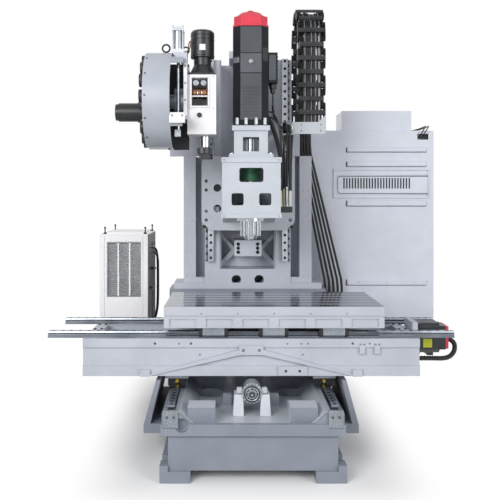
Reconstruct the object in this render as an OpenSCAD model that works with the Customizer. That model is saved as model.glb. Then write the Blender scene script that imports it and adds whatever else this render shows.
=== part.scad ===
// Bare C-frame vertical machining centre. Millimetres, X right, Y back, Z up.
// The origin is the middle of the foundation bolts, at floor level.

/* [Layout] */
// Spindle axis, forward of the middle of the base
spindle_forward = 508; // [480:1:540]
// Spindle axis to the Z ways on the column
throat = 640; // [620:1:680]
// Running clearance between sliding parts
run_gap = 0.4; // [0.3:0.1:0.8]
// Radial clearance of turning shafts
shaft_gap = 0.06; // [0.02:0.01:0.09]

/* [Linear guides] */
// Width of a guide rail
rail_w = 45; // [40:1:50]
// Height of a guide rail
rail_h = 38; // [34:1:42]
// Width of a guide block
block_w = 116; // [100:1:116]
// Length of a guide block
block_l = 170; // [140:1:180]
// Height of a guide block above the rail seat
block_h = 70; // [64:1:76]
// Radius of the ball screws
screw_r = 20; // [16:0.5:24]

/* [Base] */
// Length of the base, front to back
base_l = 2000; // [1900:10:2100]
// Width of the lower body
base_w = 912; // [860:2:940]
// Width across both skids
skid_span = 1000; // [960:2:1060]
// Width of one skid
skid_w = 165; // [140:1:190]
// Height of the skids
skid_h = 60; // [40:1:90]
// Height of the underside of the front lip
lip_z = 250; // [220:1:262]
// Height of the trough floor
trough_z = 290; // [276:1:300]
// Height of the front lip above the trough floor
lip_h = 22; // [10:1:40]
// Height of the Y ways
way_z = 365; // [350:1:380]
// Width of a Y way wall
way_w = 145; // [125:1:160]
// Y rails, from the middle plane
y_rail_x = 442; // [430:1:450]
// Front end of the Y rails, behind the base front
y_rail_inset = 40; // [36:1:60]
// Height of the column seat
seat_z = 882; // [840:1:920]
// Width of the front of the column seat
seat_w = 1092; // [1060:2:1160]
// Depth of the wide front of the column seat
cheek_d = 250; // [200:5:260]
// Width across the two side gutters
wing_span = 1258; // [1200:2:1320]
// Height of the gutter walls
wing_top = 455; // [420:1:465]
// Radius of the foundation bolt holes
bolt_r = 14; // [10:0.5:18]
// Height of the Y screw axis
y_screw_z = 418; // [410:1:420]
// Radius of the Y front bearing
bearing_r = 60; // [52:1:61]

/* [Saddle and table] */
// Length of the saddle
saddle_l = 1960; // [1900:10:2000]
// Depth of the saddle
saddle_d = 580; // [560:1:590]
// Saddle front, forward of the spindle axis
saddle_forward = 162; // [150:1:180]
// Height of the saddle body
saddle_h = 216; // [206:1:240]
// Height of the saddle pads over the Y blocks
saddle_pad_h = 49; // [40:1:60]
// Length of the X rails
x_rail_l = 2380; // [2300:10:2440]
// Spacing of the X rails
x_rail_pitch = 422; // [400:1:430]
// Front X rail behind the saddle front
x_rail_inset = 50; // [40:1:56]
// Length of the table
table_l = 1270; // [1200:5:1320]
// Depth of the table
table_d = 600; // [580:1:620]
// Thickness of the table
table_t = 123; // [110:1:140]
// Table position along X
table_x = 130; // [60:1:150]
// Number of T-slots
slot_n = 5; // [3:1:5]
// Spacing of the T-slots
slot_pitch = 100; // [90:1:110]
// Width of a T-slot neck
slot_w = 18; // [14:1:22]

/* [Column] */
// Width of the lower column
column_w = 898; // [880:2:920]
// Width of the neck
neck_w = 616; // [612:2:640]
// Height of the shoulder
shoulder_z = 1811; // [1780:1:1840]
// Height of the column
column_top = 2482; // [2450:1:2520]
// Depth of the column foot, behind the Z ways
column_d = 768; // [720:1:820]
// Z rails, from the middle plane
z_rail_x = 257; // [250:1:262]
// Height of the lower end of the Z rails
z_rail_z = 1075; // [1040:1:1080]

/* [Head] */
// Width of the head box
head_w = 340; // [300:2:350]
// Head front, forward of the spindle axis
head_nose = 182; // [170:1:200]
// Height of the head underside
head_z = 1402; // [1390:1:1420]
// Height of the head box
head_h = 352; // [330:1:370]
// Width of the Z slide
slide_w = 634; // [632:2:650]
// Height of the lower edge of the Z slide
slide_z = 1295; // [1285:1:1310]
// Height of the Z slide
slide_h = 504; // [490:1:520]
// Height of the motor tower
tower_h = 192; // [170:1:210]
// Width of the spindle motor
motor_w = 212; // [190:2:230]
// Height of the spindle motor
motor_h = 559; // [500:1:600]
// Radius of the spindle cartridge
cartridge_r = 72; // [66:1:78]
// Radius of the spindle
spindle_r = 44; // [38:1:48]
// Spindle nose below the head
nose_drop = 132; // [120:1:150]

/* [Tool changer] */
// Arm axis, left of the spindle axis
arm_pitch = 272; // [265:1:285]
// Height of the arm underside
arm_z = 1768; // [1760:1:1780]
// Thickness of the arm
arm_t = 32; // [26:1:36]
// Height of the magazine axis
mag_z = 2099; // [2090:1:2110]
// Radius of the magazine cover
mag_r = 290; // [286:1:300]
// Width of the magazine cover
mag_w = 155; // [145:1:160]
// Number of pots
pot_n = 16; // [12:1:16]
// Radius of a pot
pot_r = 38; // [32:1:38]
// Height of the cam box
cam_h = 352; // [330:1:370]
// Width of the cam box
cam_w = 170; // [160:1:174]

/* [Cable chain] */
// Pitch of the chain links
link_pitch = 88; // [80:1:95]
// Width of the chain
chain_w = 180; // [160:1:190]
// Radius of the chain loop
chain_r = 216; // [205:1:225]

/* [Cabinet and chiller] */
// Width of the cabinet
cabinet_w = 910; // [850:5:950]
// Depth of the cabinet
cabinet_d = 420; // [380:1:460]
// Height of the cabinet
cabinet_h = 1391; // [1300:1:1450]
// Height of the cabinet underside
cabinet_z = 623; // [600:1:650]
// Thickness of the cabinet sheet
sheet_t = 4; // [3:0.5:6]
// Width of the chiller
chiller_w = 355; // [320:1:380]
// Depth of the chiller
chiller_d = 510; // [460:1:540]
// Height of the chiller
chiller_h = 859; // [800:1:900]

/* [Hidden] */
$fn = 48;
eps = 1;
seat_gap = 0.3;
spindle_y = -spindle_forward;
z_way_y = spindle_y + throat;
base_front = -base_l / 2;
way_out = y_rail_x + 48;
way_in = way_out - way_w;
rear_w = column_w + 10;
seat_front = z_way_y - 7;
y_rail_y0 = base_front + y_rail_inset;
y_rail_l = seat_front - 15 - y_rail_y0;
bolt_x = (skid_span - skid_w) / 2;
bolt_y = base_l / 2 - 120;
lip_t = 30;
saddle_y0 = spindle_y - saddle_forward;
saddle_z = way_z + block_h + saddle_pad_h;
x_way_z = saddle_z + saddle_h;
x_rail_ys = [saddle_y0 + x_rail_inset, saddle_y0 + x_rail_inset + x_rail_pitch];
table_y = (x_rail_ys[0] + x_rail_ys[1]) / 2;
table_z = x_way_z + block_h;
table_top = table_z + table_t;
x_screw_z = x_way_z - 33;
y_block_ys = [saddle_y0 + 150 + block_l / 2, saddle_y0 + saddle_d - 15 - block_l / 2];
x_block_pitch = 350;
slide_rear = z_way_y - block_h;
slide_front = slide_rear - 62;
z_block_zs = [slide_z + 14 + block_l / 2, slide_z + slide_h - 14 - block_l / 2];
z_screw_y = z_way_y + 30;
recess_d = 198;
recess_z = 1020;
pad_in = z_rail_x - 62;
bearing_x = 94;
pad_out = z_rail_x + 43;
head_y0 = spindle_y - head_nose;
head_top = head_z + head_h;
tower_top = head_top + tower_h;
motor_top = tower_top + 30 + motor_h;
arm_x = -arm_pitch;
plate_x = arm_x - 103;
plate_t = 20;
cam_z = arm_z + 125;
mag_x1 = plate_x - plate_t - 70;
mag_x0 = mag_x1 - mag_w;
pot_ring_r = mag_r - 10 - pot_r - 2;
pot_hinge_r = pot_ring_r - 16;
pot_x0 = mag_x0 - 22;
pot_l = 88;
pot_hinge_x = pot_x0 + pot_l - 8;
rod_at = [plate_x - plate_t - 34, spindle_y - 100];
bracket_z = tower_top - 16;
bracket_h = 77;
bracket_y = -240;
chain_x0 = neck_w / 2 + 7;
chain_run_y = bracket_y + 8 + 32;
chain_z0 = bracket_z + bracket_h + 22;
chain_rise = 518;
chain_fall = 560;
chain_len = chain_rise + PI * chain_r + chain_fall;
link_n = floor(chain_len / link_pitch);
chain_end_z = chain_z0 + chain_rise - (link_n * link_pitch - chain_rise - PI * chain_r);
cabinet_x = column_w / 2 + 21;
cabinet_y = z_way_y + 268;
door_y = cabinet_y + cabinet_d;
door_t = 22;
hinge_r = 6;
cabinet_ribs = [[249, 37], [cabinet_h - 558, 37], [cabinet_h - 266, 33], [cabinet_h - 159, 30]];
chiller_x = -seat_w / 2 - 186 - chiller_w;
chiller_y = z_way_y + 268;
chiller_z = 390;
grille_w = chiller_w - 103;
grille_x = 53;
grille_h = chiller_h * 0.474;
grille_z = chiller_z + chiller_h * 0.458;
shelf_t = 40;

// Routes of the cables that are clamped at both ends
column_cable_n = 5;
cable_r = 9;
hose_x = saddle_l / 2 + 228;
hose_y = table_y;
hose_points = [[hose_x, hose_y, 640], [hose_x + 32, hose_y, 640], [hose_x + 58, hose_y, 612],
    [hose_x + 54, hose_y + 4, 562],
    [hose_x + 12, hose_y + 17, 524], [saddle_l / 2 + 140, hose_y + 39, 516],
        [saddle_l / 2, hose_y + 39, 516]];
head_cable_points = [[253, -240, 1915], [253, -262, 1915], [246, -310, 1890], [236, -370, 1820],
    [228, -430, 1720],
    [223, -475, 1600], [222, -490, 1530], [222, -490, 1466]];

// Shared shapes
module box(size, at) { translate(at) cube(size); }
module mid_box(size, at) { translate([at[0] - size[0] / 2, at[1], at[2]]) cube(size); }
module along_x(h, r, at) { translate(at) rotate([0, 90, 0]) cylinder(h = h, r = r); }
module along_y(h, r, at) { translate(at) rotate([-90, 0, 0]) cylinder(h = h, r = r); }
module side_plate(w, points) { translate([-w / 2, 0, 0]) rotate([90, 0, 90]) linear_extrude(w)
    polygon(points); }
module front_plate(t, y, points) { translate([0, y + t, 0]) rotate([90, 0, 0]) linear_extrude(t)
    polygon(points); }
// A window cut along Y, with round corners
module round_window(w, h, r, at, depth) {
    mid_box([w - 2 * r, depth, h], [at[0], at[1], at[2] - h / 2]);
    mid_box([w, depth, h - 2 * r], [at[0], at[1], at[2] - h / 2 + r]);
    for (x = [-1, 1], z = [-1, 1]) along_y(depth, r, [at[0] + x * (w / 2 - r), at[1],
        at[2] + z * (h / 2 - r)]);
}
module both() { children(); mirror([1, 0, 0]) children(); }

// A guide rail along Y, seated at z = 0
module guide_rail(l) {
    w = rail_w / 2;
    rotate([90, 0, 0]) linear_extrude(l, center = true) polygon([[-w, 0], [w, 0], [w, rail_h * 0.3],
        [w - 6, rail_h * 0.5], [w - 6, rail_h * 0.62], [w, rail_h * 0.8], [w - 3, rail_h], [3 - w, rail_h],
        [-w, rail_h * 0.8], [6 - w, rail_h * 0.62], [6 - w, rail_h * 0.5], [-w, rail_h * 0.3]]);
}

module block_section(w, top) {
    side = w / 2;
    slot = rail_w / 2 + run_gap;
    foot = 8;
    polygon([[-side, foot + 14], [-side, top], [side, top], [side, foot + 14], [side - 20, foot],
        [slot, foot],
        [slot, rail_h + run_gap], [-slot, rail_h + run_gap], [-slot, foot], [20 - side, foot]]);
}

// A guide block along Y: a steel body between two seal caps
module guide_block() {
    cap = 22;
    rotate([90, 0, 0]) {
        linear_extrude(block_l - 2 * cap, center = true) block_section(block_w, block_h);
        for (s = [-1, 1]) translate([0, 0, s * (block_l - cap) / 2])
            linear_extrude(cap, center = true) block_section(block_w - 8, block_h - 5);
    }
}

// A servo motor along +Z: flange, chamfered body and a narrower encoder end
module servo(w, l) {
    c = w / 8;
    a = w / 2;
    linear_extrude(16) square(w, center = true);
    translate([0, 0, 16]) linear_extrude(l * 0.68) polygon([[c - a, -a], [a - c, -a], [a, c - a], [a, a - c],
        [a - c, a], [c - a, a], [-a, a - c], [-a, c - a]]);
    translate([0, 0, 16 + l * 0.68]) linear_extrude(l * 0.32 - 16) square(w * 0.8, center = true);
    translate([a - eps, -a * 0.45, l * 0.42]) cube([w * 0.14, a * 0.9, l * 0.2]);
}

// A tube swept along a route of points
function unit(v) = v / norm(v);
function heading(p, i) = unit(p[min(i + 1, len(p) - 1)] - p[max(i - 1, 0)]);
function ring(p, i, r, n) = let (t = heading(p, i), a = unit(cross(t, [0.31, 0.9, 0.3])), b = cross(t, a))
    [for (k = [0:n - 1]) p[i] + r * (a * cos(360 * k / n) + b * sin(360 * k / n))];
module tube(p, r) {
    n = 8;
    last = len(p) - 1;
    polyhedron([for (i = [0:last]) each ring(p, i, r, n)], concat([[for (k = [0:n - 1]) k]],
        [for (i = [0:last - 1], k = [0:n - 1]) [i * n + k, (i + 1) * n + k, i * n + (k + 1) % n]],
        [for (i = [0:last - 1], k = [0:n - 1]) [(i + 1) * n + k, (i + 1) * n + (k + 1) % n,
            i * n + (k + 1) % n]], [[for (k = [n - 1:-1:0]) last * n + k]]));
}

// Base casting: skids, lower body, trough between the ways, side gutters and the raised column seat
module base() color("#8E949E") {
    way_l = seat_front - base_front - 15;
    wing_y = -650;
    tunnel_w = 300;
    difference() {
        union() {
            both() box([skid_w, base_l, skid_h + eps], [skid_span / 2 - skid_w, base_front, 0]);
            both() box([skid_span / 2 - base_w / 2 + eps, base_l, skid_h + 32],
                [base_w / 2 - eps, base_front, 0]);
            mid_box([base_w, base_l - 40, lip_z - skid_h], [0, base_front + 20, skid_h]);
            mid_box([2 * way_out + 8, seat_front - base_front + eps, trough_z - lip_z],
                [0, base_front, lip_z]);
            mid_box([2 * way_out + 8, lip_t, lip_h + eps], [0, base_front, trough_z - eps]);
            both() front_plate(way_l + eps, base_front + 15, [[way_out, trough_z - eps],
                [way_out, way_z], [way_in + 46, way_z],
                [way_in - 36, trough_z - eps]]);
            mid_box([seat_w, cheek_d, seat_z - skid_h], [0, seat_front, skid_h]);
            mid_box([rear_w, base_l / 2 - seat_front, seat_z - skid_h], [0, seat_front, skid_h]);
            // side gutters
            both() translate([0, seat_front + eps, 0]) rotate([90, 0, 0]) linear_extrude(seat_front - wing_y)
                polygon([[base_w / 2 - eps, 145], [wing_span / 2, 145], [wing_span / 2, 192],
                    [wing_span / 2 - 73, wing_top], [wing_span / 2 - 99, wing_top], [wing_span / 2 - 40, 200],
                    [base_w / 2 - eps, 200]]);
            // blocks inside the trough and the sloping ribs beside them
            both() {
                box([150, 130, 93], [way_in - 140, base_front + 70, trough_z - eps]);
                box([50, 60, 60], [115, base_front + 400, trough_z - eps]);
                box([60, 60, 36], [210, base_front + 340, trough_z - eps]);
            }
            // pillars under the front screw bearing
            both() front_plate(90, base_front + 210, [[45, trough_z - eps], [108, trough_z - eps],
                [100, y_screw_z - 6], [50, y_screw_z - 6]]);
        }
        // foundation bolt holes
        for (x = [-1, 1], y = [-1, 1]) translate([x * bolt_x, y * bolt_y, -eps])
            cylinder(h = skid_h + 2 * eps, r = bolt_r);
        both() for (y = [-1, 1]) box([base_w, 5 * bolt_r, 130],
            [bolt_x - 2.5 * bolt_r, y * bolt_y - 2.5 * bolt_r, skid_h]);
        // chip holes in the trough floor
        both() translate([255, -330, 150]) cylinder(h = 400, r = 88);
        // screw tunnel through the column seat, and the space under the body
        mid_box([tunnel_w, 900, 290], [0, seat_front - eps, trough_z]);
        // bore for the front bearing housing
        along_y(200, bearing_r + seat_gap, [0, base_front + 200, y_screw_z]);
        // notches for the rail stops
        for (s = [-1, 1]) mid_box([80 + 2 * seat_gap, 15 + eps, 100],
            [s * y_rail_x, base_front - eps, trough_z + eps]);
        // round scoop beside the left rail stop
        along_y(45, 36, [60 - y_rail_x, base_front - eps, trough_z + 15]);
        // core openings in the flanks of the seat
        both() along_x(200, 110, [rear_w / 2 - 120, base_l / 2 - 420, 470]);
    }
}

module y_rails() color("#C8CCD0") for (s = [-1, 1])
    translate([s * y_rail_x, y_rail_y0 + y_rail_l / 2, way_z]) guide_rail(y_rail_l);

module y_rail_stops() color("#D6D9DE") for (s = [-1, 1]) translate([s * y_rail_x, 0, 0])
    mid_box([80, 14, 94], [0, base_front + 1, way_z - 72]);

// Round flanged housing between the pillars, and the rear block in the tunnel
module y_screw_bearings() color("#6A6E74") difference() {
    union() {
        along_y(90, bearing_r, [0, base_front + 210, y_screw_z]);
        along_y(22, bearing_r * 0.74, [0, base_front + 190, y_screw_z]);
        mid_box([180, 50, y_screw_z + 50 - trough_z], [0, seat_front + 20, trough_z]);
    }
    along_y(base_l, screw_r + shaft_gap, [0, base_front, y_screw_z]);
}

module y_motor() color("#33373C") {
    translate([0, seat_front + 90, y_screw_z]) rotate([-90, 0, 0]) servo(176, 260);
    mid_box([200, 20, y_screw_z + 90 - trough_z], [0, seat_front + 70, trough_z]);
}

// Column casting: foot flange, lower body with two recesses, narrower neck, way pads and screw recess
module column() color("#C9CCD6") {
    rear = z_way_y + column_d;
    foot_h = 41;
    difference() {
        union() {
            mid_box([seat_w - 60, cheek_d, foot_h], [0, seat_front, seat_z]);
            mid_box([column_w, column_d + 30, foot_h + eps], [0, seat_front, seat_z]);
            side_plate(column_w, [[z_way_y + 18, seat_z + foot_h], [rear, seat_z + foot_h],
                [rear - 70, shoulder_z],
                [z_way_y + 18, shoulder_z]]);
            side_plate(neck_w, [[z_way_y + 18, shoulder_z - eps], [rear - 70, shoulder_z - eps],
                [rear - 120, column_top], [z_way_y + 18, column_top]]);
            both() box([pad_out - pad_in, 40, column_top - seat_z - foot_h],
                [pad_in, z_way_y, seat_z + foot_h]);
            mid_box([2 * pad_in + 2 * eps, 40, recess_z - seat_z - foot_h], [0, z_way_y, seat_z + foot_h]);
        }
        // recess for the screw, and the deep slots beside the way pads
        mid_box([2 * pad_in - 20, recess_d, column_top], [0, z_way_y + 5, recess_z]);
        both() box([column_w / 2 - 85 - pad_out, 170, shoulder_z - 960], [pad_out, z_way_y - eps, 960]);
        // channel behind the right front post, for the cables
        front_plate(142, z_way_y + 58, [[352, shoulder_z + eps], [452, 1340], [column_w / 2 + eps, 1340],
            [column_w / 2 + eps, shoulder_z + eps]]);
        // round openings at the foot
        both() along_y(260, 33, [80, z_way_y - eps, seat_z + 62]);
        // pockets between the ribs of the rear wall
        for (z = [1000, 1280, 1560]) both() box([300, 200, 220], [30, rear - 250, z]);
        for (z = [1880, 2160]) mid_box([420, 200, 220], [0, rear - 290, z]);
    }
    // crossed ribs behind the lower screw bearing
    for (s = [-1, 1]) front_plate(70, z_way_y + recess_d - 64, [[s * bearing_x, z_rail_z + 40],
        [s * (pad_in - 8), z_rail_z - 50],
        [s * (pad_in - 8), z_rail_z - 10], [s * bearing_x, z_rail_z + 90]]);
    for (s = [-1, 1]) front_plate(70, z_way_y + recess_d - 64, [[s * bearing_x, z_rail_z + 90],
        [s * (pad_in - 8), z_rail_z + 190],
        [s * (pad_in - 8), z_rail_z + 150], [s * bearing_x, z_rail_z + 50]]);
}

module z_rails() color("#C8CCD0") for (s = [-1, 1]) translate([s * z_rail_x, z_way_y,
    (z_rail_z + column_top) / 2])
    rotate([90, 0, 0]) guide_rail(column_top - z_rail_z);

// Lower bearing block and the motor mount on the column top
module z_screw_bearings() color("#B9BDC6") difference() {
    union() {
        mid_box([2 * bearing_x, z_way_y + recess_d + 5 - slide_rear - 14, 111],
            [0, slide_rear + 14, z_rail_z + 38]);
        mid_box([260, z_way_y + recess_d + 60 - slide_rear, 50], [0, slide_rear + 20, column_top]);
    }
    translate([0, z_screw_y, z_rail_z + 60]) cylinder(h = column_top, r = screw_r + shaft_gap);
}

module z_motor() color("#33373C") translate([0, z_screw_y, column_top + 50]) servo(178, 250);

// Side plate that carries the tool changer, wall and spacer on the column, and a foot for the air cylinder
module changer_bracket() color("#B4B8C2") difference() {
    wall_w = 240;
    union() {
        box([plate_t, z_way_y + 430 - spindle_y + 140, 330], [plate_x - plate_t, spindle_y - 140,
            mag_z - 120]);
        box([-neck_w / 2 - plate_x, 340, 290], [plate_x, z_way_y + 50, mag_z - 100]);
        box([wall_w, 30, mag_z + 221 - shoulder_z], [-neck_w / 2 - wall_w, z_way_y + 50, shoulder_z]);
        front_plate(80, rod_at[1] - 40, [[plate_x - plate_t - 68, mag_z + 270], [plate_x, mag_z + 270],
            [plate_x, mag_z + 200], [plate_x - plate_t, mag_z + 200]]);
    }
    along_x(100, 60, [plate_x - 60, spindle_y + 330, mag_z + 40]);
    translate([rod_at[0], rod_at[1], mag_z + 100]) cylinder(h = 200, r = 14);
}

// Cam box: a hollow housing with a window in front and the arm shaft bore below
module cam_box() color("#E6E6E8") difference() {
    box([cam_w, 224, cam_h], [plate_x, spindle_y - 112, cam_z]);
    box([cam_w - 24, 200, cam_h - 60], [plate_x + 12, spindle_y - 100, cam_z + 40]);
    box([94, 40, 165], [plate_x + 26, spindle_y - 130, cam_z + 168]);
    translate([arm_x, spindle_y, cam_z - eps]) cylinder(h = 60, r = 30 + shaft_gap);
}

// Motor on a flared adaptor
module cam_box_motor() color("#2E3136") translate([(plate_x + cam_w / 2), spindle_y, cam_z + cam_h]) {
    linear_extrude(17) square([cam_w - 6, 164], center = true);
    translate([0, 0, 17]) cylinder(h = 55, r1 = 80, r2 = 53);
    translate([0, 0, 72]) cylinder(h = 45, r = 53);
    translate([0, 0, 117]) cylinder(h = 150, r = 71);
    translate([0, 0, 267]) cylinder(h = 12, r1 = 71, r2 = 62);
}

// Cover over the front half of the magazine, with feet to the bracket plate and a chute below
module magazine_cover() color("#A9AEB6") {
    wall = 6;
    difference() {
        along_x(mag_w, mag_r, [mag_x0, spindle_y, mag_z]);
        along_x(mag_w + 2 * eps, mag_r - wall, [mag_x0 - eps, spindle_y, mag_z]);
        box([mag_w + 2 * eps, mag_r + eps, 2 * mag_r], [mag_x0 - eps, spindle_y + 70, mag_z - mag_r]);
        box([mag_w - 15, 130, 80], [mag_x0 - eps, spindle_y - 65, mag_z - mag_r - 20]);
    }
    for (a = [-50, 30]) translate([mag_x1 - 12, spindle_y, mag_z]) rotate([a, 0, 0])
        translate([0, -mag_r + 2, -30]) cube([plate_x - plate_t - mag_x1 + 12, wall, 60]);
}

// Fixed axle with the plate that carries the index motor
module magazine_axle() color("#8A8F96") {
    along_x(plate_x - plate_t - pot_x0 - 8, 45, [pot_x0 + 8, spindle_y, mag_z]);
    along_x(plate_x - plate_t - mag_x1 - 10, 80, [mag_x1 + 10, spindle_y, mag_z]);
    box([14, 150, 200], [pot_x0 - 6, spindle_y - 75, mag_z - 130]);
}

module magazine_motor() color("#1F2124") {
    x = pot_x0 - 6;
    along_x(30, 62, [x - 30, spindle_y, mag_z - 64]);
    along_x(116, 56, [x - 146, spindle_y, mag_z - 64]);
    along_x(18, 50, [x - 164, spindle_y, mag_z - 64]);
}

// Disc that turns on the axle, with a notch where the change pot is hinged
module magazine_disc() color("#9EA3AA") difference() {
    along_x(18, pot_ring_r + 18, [pot_x0 + pot_l + 4, spindle_y, mag_z]);
    along_x(60, 45 + shaft_gap, [pot_x0 + pot_l - 4, spindle_y, mag_z]);
    box([60, 2 * pot_r + 16, pot_r + 100], [pot_x0 + pot_l - 4, spindle_y - pot_r - 8,
        mag_z - pot_ring_r - 60]);
}

module pot_shape() {
    difference() {
        union() {
            along_x(pot_l, pot_r - 4, [pot_x0, 0, 0]);
            along_x(26, pot_r, [pot_x0, 0, 0]);
        }
        translate([pot_x0 - eps, 0, 0]) rotate([0, 90, 0]) cylinder(h = 66, r1 = pot_r - 12, r2 = pot_r - 24);
    }
}

module tool_pots() color("#26282B") for (i = [1:pot_n - 1]) translate([0, spindle_y, mag_z])
    rotate([360 * i / pot_n, 0, 0]) translate([0, 0, -pot_ring_r]) {
        pot_shape();
        along_x(4, 20, [pot_x0 + pot_l, 0, 0]);
    }

// The pot at the change station: it swings down on a cross pin held in the disc's notch
module change_pot() color("#26282B") {
    translate([0, spindle_y, mag_z - pot_ring_r]) pot_shape();
    along_y(2 * pot_r + 15, 9, [pot_hinge_x + 21, spindle_y - pot_r - 7.5, mag_z - pot_hinge_r]);
    box([18, 30, 24], [pot_hinge_x + 6, spindle_y - 15, mag_z - pot_hinge_r - 12]);
}

// Air cylinder with four tie rods, and the rod that drives the change pot
module air_cylinder() color("#C3C7CC") translate([rod_at[0], rod_at[1], mag_z + 270]) difference() {
    union() {
        for (z = [0, 130]) translate([-36, -36, z]) cube([72, 72, 22]);
        cylinder(h = 152, r = 29);
        for (x = [-29, 29], y = [-29, 29]) translate([x, y, 0]) cylinder(h = 160, r = 5);
    }
    translate([0, 0, -eps]) cylinder(h = 100, r = 10 + shaft_gap);
}

module pot_rod() color("#D0D3D6") translate([rod_at[0], rod_at[1], mag_z]) {
    translate([0, 0, -180]) cylinder(h = 520, r = 10);
    translate([-20, -22, -220]) cube([36, 144, 42]);
}

module arm_sleeve() color("#C8CCD0") translate([arm_x, spindle_y, 0]) difference() {
    translate([0, 0, arm_z + arm_t + 24]) cylinder(h = cam_z + 90 - arm_z - arm_t, r = 30);
    translate([0, 0, arm_z]) cylinder(h = 300, r = 20 + shaft_gap);
}

// Double-ended arm with an open jaw at each end, parked along Y, on its lifting shaft
module tool_arm() color("#3A3D42") translate([arm_x, spindle_y, arm_z]) {
    difference() {
        union() {
            cylinder(h = arm_t + 20, r = 42);
            translate([-25, -arm_pitch + 30, 0]) cube([50, 2 * arm_pitch - 60, arm_t]);
            for (s = [-1, 1]) translate([0, s * arm_pitch, 0]) cylinder(h = arm_t, r = 45);
        }
        for (s = [-1, 1]) translate([0, s * arm_pitch, -eps]) cylinder(h = arm_t + 2 * eps, r = 32);
        for (s = [-1, 1]) translate([s > 0 ? 0 : -60, s * arm_pitch - 26, -eps])
            cube([60, 52, arm_t + 2 * eps]);
    }
    translate([0, 0, arm_t]) cylinder(h = cam_z - arm_z + 60 - arm_t + 120, r = 20);
}

// Grooved cam drum behind the window
module cam_drum() color("#9A6B4A") translate([plate_x + 12 + seat_gap, spindle_y - 55, cam_z + 250])
    rotate([0, 90, 0])
    difference() {
        union() {
            cylinder(h = cam_w - 24 - 2 * seat_gap, r = 12);
            translate([0, 0, 22]) cylinder(h = 76, r = 34);
        }
        for (z = [40, 64]) translate([0, 0, z]) difference() {
            cylinder(h = 12, r = 40);
            translate([0, 0, -eps]) cylinder(h = 14, r = 26);
        }
    }

// Electrical cabinet: a sheet-metal shell, open at the back, with ribs and louvres pressed into its
// front wall
module cabinet() color("#C8CCD8") {
    x1 = cabinet_x + cabinet_w;
    difference() {
        union() {
            box([cabinet_w, cabinet_d, cabinet_h], [cabinet_x, cabinet_y, cabinet_z]);
            for (r = cabinet_ribs) box([584, 9, r[1]], [x1 - 637, cabinet_y - 8, cabinet_z + r[0]]);
            box([710, 11, 215], [x1 - 741, cabinet_y - 10, cabinet_z + cabinet_h - 499]);
        }
        box([cabinet_w - 2 * sheet_t, cabinet_d, cabinet_h - 2 * sheet_t],
            [cabinet_x + sheet_t, cabinet_y + sheet_t, cabinet_z + sheet_t]);
        box([690, 11, 195], [x1 - 731, cabinet_y - 12, cabinet_z + cabinet_h - 489]);
        for (i = [0:23]) box([11, 30, 78], [x1 - 667 + i * 21, cabinet_y - 12, cabinet_z + cabinet_h - 429]);
        box([81, 30, 42], [x1 - 119, cabinet_y - 12, cabinet_z + cabinet_h - 67]);
    }
    // hangers to the column flank
    for (z = [460, cabinet_h - 171]) box([cabinet_x - column_w / 2, 160, 80],
        [column_w / 2, cabinet_y + 40, cabinet_z + z]);
    // hinge barrels of the rear doors
    for (x = [cabinet_x + 8, x1 - 8], z = [160, cabinet_h - 240]) difference() {
        union() {
            translate([x, door_y + 12, cabinet_z + z]) cylinder(h = 40, r = 11);
            box([16, 14, 40], [x - 8, door_y - 2, cabinet_z + z]);
        }
        translate([x, door_y + 12, cabinet_z + z - eps]) cylinder(h = 60, r = hinge_r + shaft_gap);
    }
}

module cabinet_top_box() color("#BFC4CE")
    box([510, 300, 147], [cabinet_x + cabinet_w - 669, cabinet_y + 20, cabinet_z + cabinet_h]);

module door(side) {
    x1 = cabinet_x + cabinet_w;
    mid = (cabinet_x + x1) / 2;
    hx = side < 0 ? cabinet_x + 8 : x1 - 8;
    difference() {
        box([cabinet_w / 2 - 24, door_t, cabinet_h - 12], [side < 0 ? cabinet_x + 23 : mid + 1,
            door_y + 1, cabinet_z + 6]);
        if (side > 0) along_y(60, 14 + shaft_gap, [mid + 60, door_y - eps, cabinet_z + cabinet_h / 2]);
    }
    for (z = [160, cabinet_h - 240]) {
        translate([hx, door_y + 12, cabinet_z + z + 40 + seat_gap]) cylinder(h = 40, r = 11);
        box([22, 11, 40], [side < 0 ? hx : hx - 22, door_y + 12, cabinet_z + z + 40 + seat_gap]);
        translate([hx, door_y + 12, cabinet_z + z + 2]) cylinder(h = 40, r = hinge_r);
    }
}

module cabinet_door_left() color("#C4C8D2") door(-1);
module cabinet_door_right() color("#C4C8D2") door(1);

module door_handle() color("#2A2C2F") {
    x = cabinet_x + cabinet_w / 2 + 60;
    z = cabinet_z + cabinet_h / 2;
    along_y(door_t + 26, 14, [x, door_y + 4, z]);
    along_y(14, 24, [x, door_y + door_t + 1.3, z]);
    mid_box([26, 14, 150], [x, door_y + door_t + 16, z - 130]);
}

// Chiller: a sheet box with a framed grille opening, door seams and an open right side
module chiller() color("#F4F4F4") difference() {
    union() {
        box([chiller_w, chiller_d, chiller_h], [chiller_x, chiller_y, chiller_z]);
        box([chiller_w - 60, chiller_d - 60, 12 + eps], [chiller_x + 30, chiller_y + 30,
            chiller_z + chiller_h - eps]);
    }
    box([grille_w, 60, grille_h], [chiller_x + grille_x, chiller_y - eps, grille_z]);
    for (x = [33, chiller_w - 37]) box([4, 5 + eps, chiller_h - 30],
        [chiller_x + x, chiller_y - eps, chiller_z + 12]);
    box([60, chiller_d - 120, chiller_h - 160], [chiller_x + chiller_w - 20, chiller_y + 60, chiller_z + 80]);
}

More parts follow.
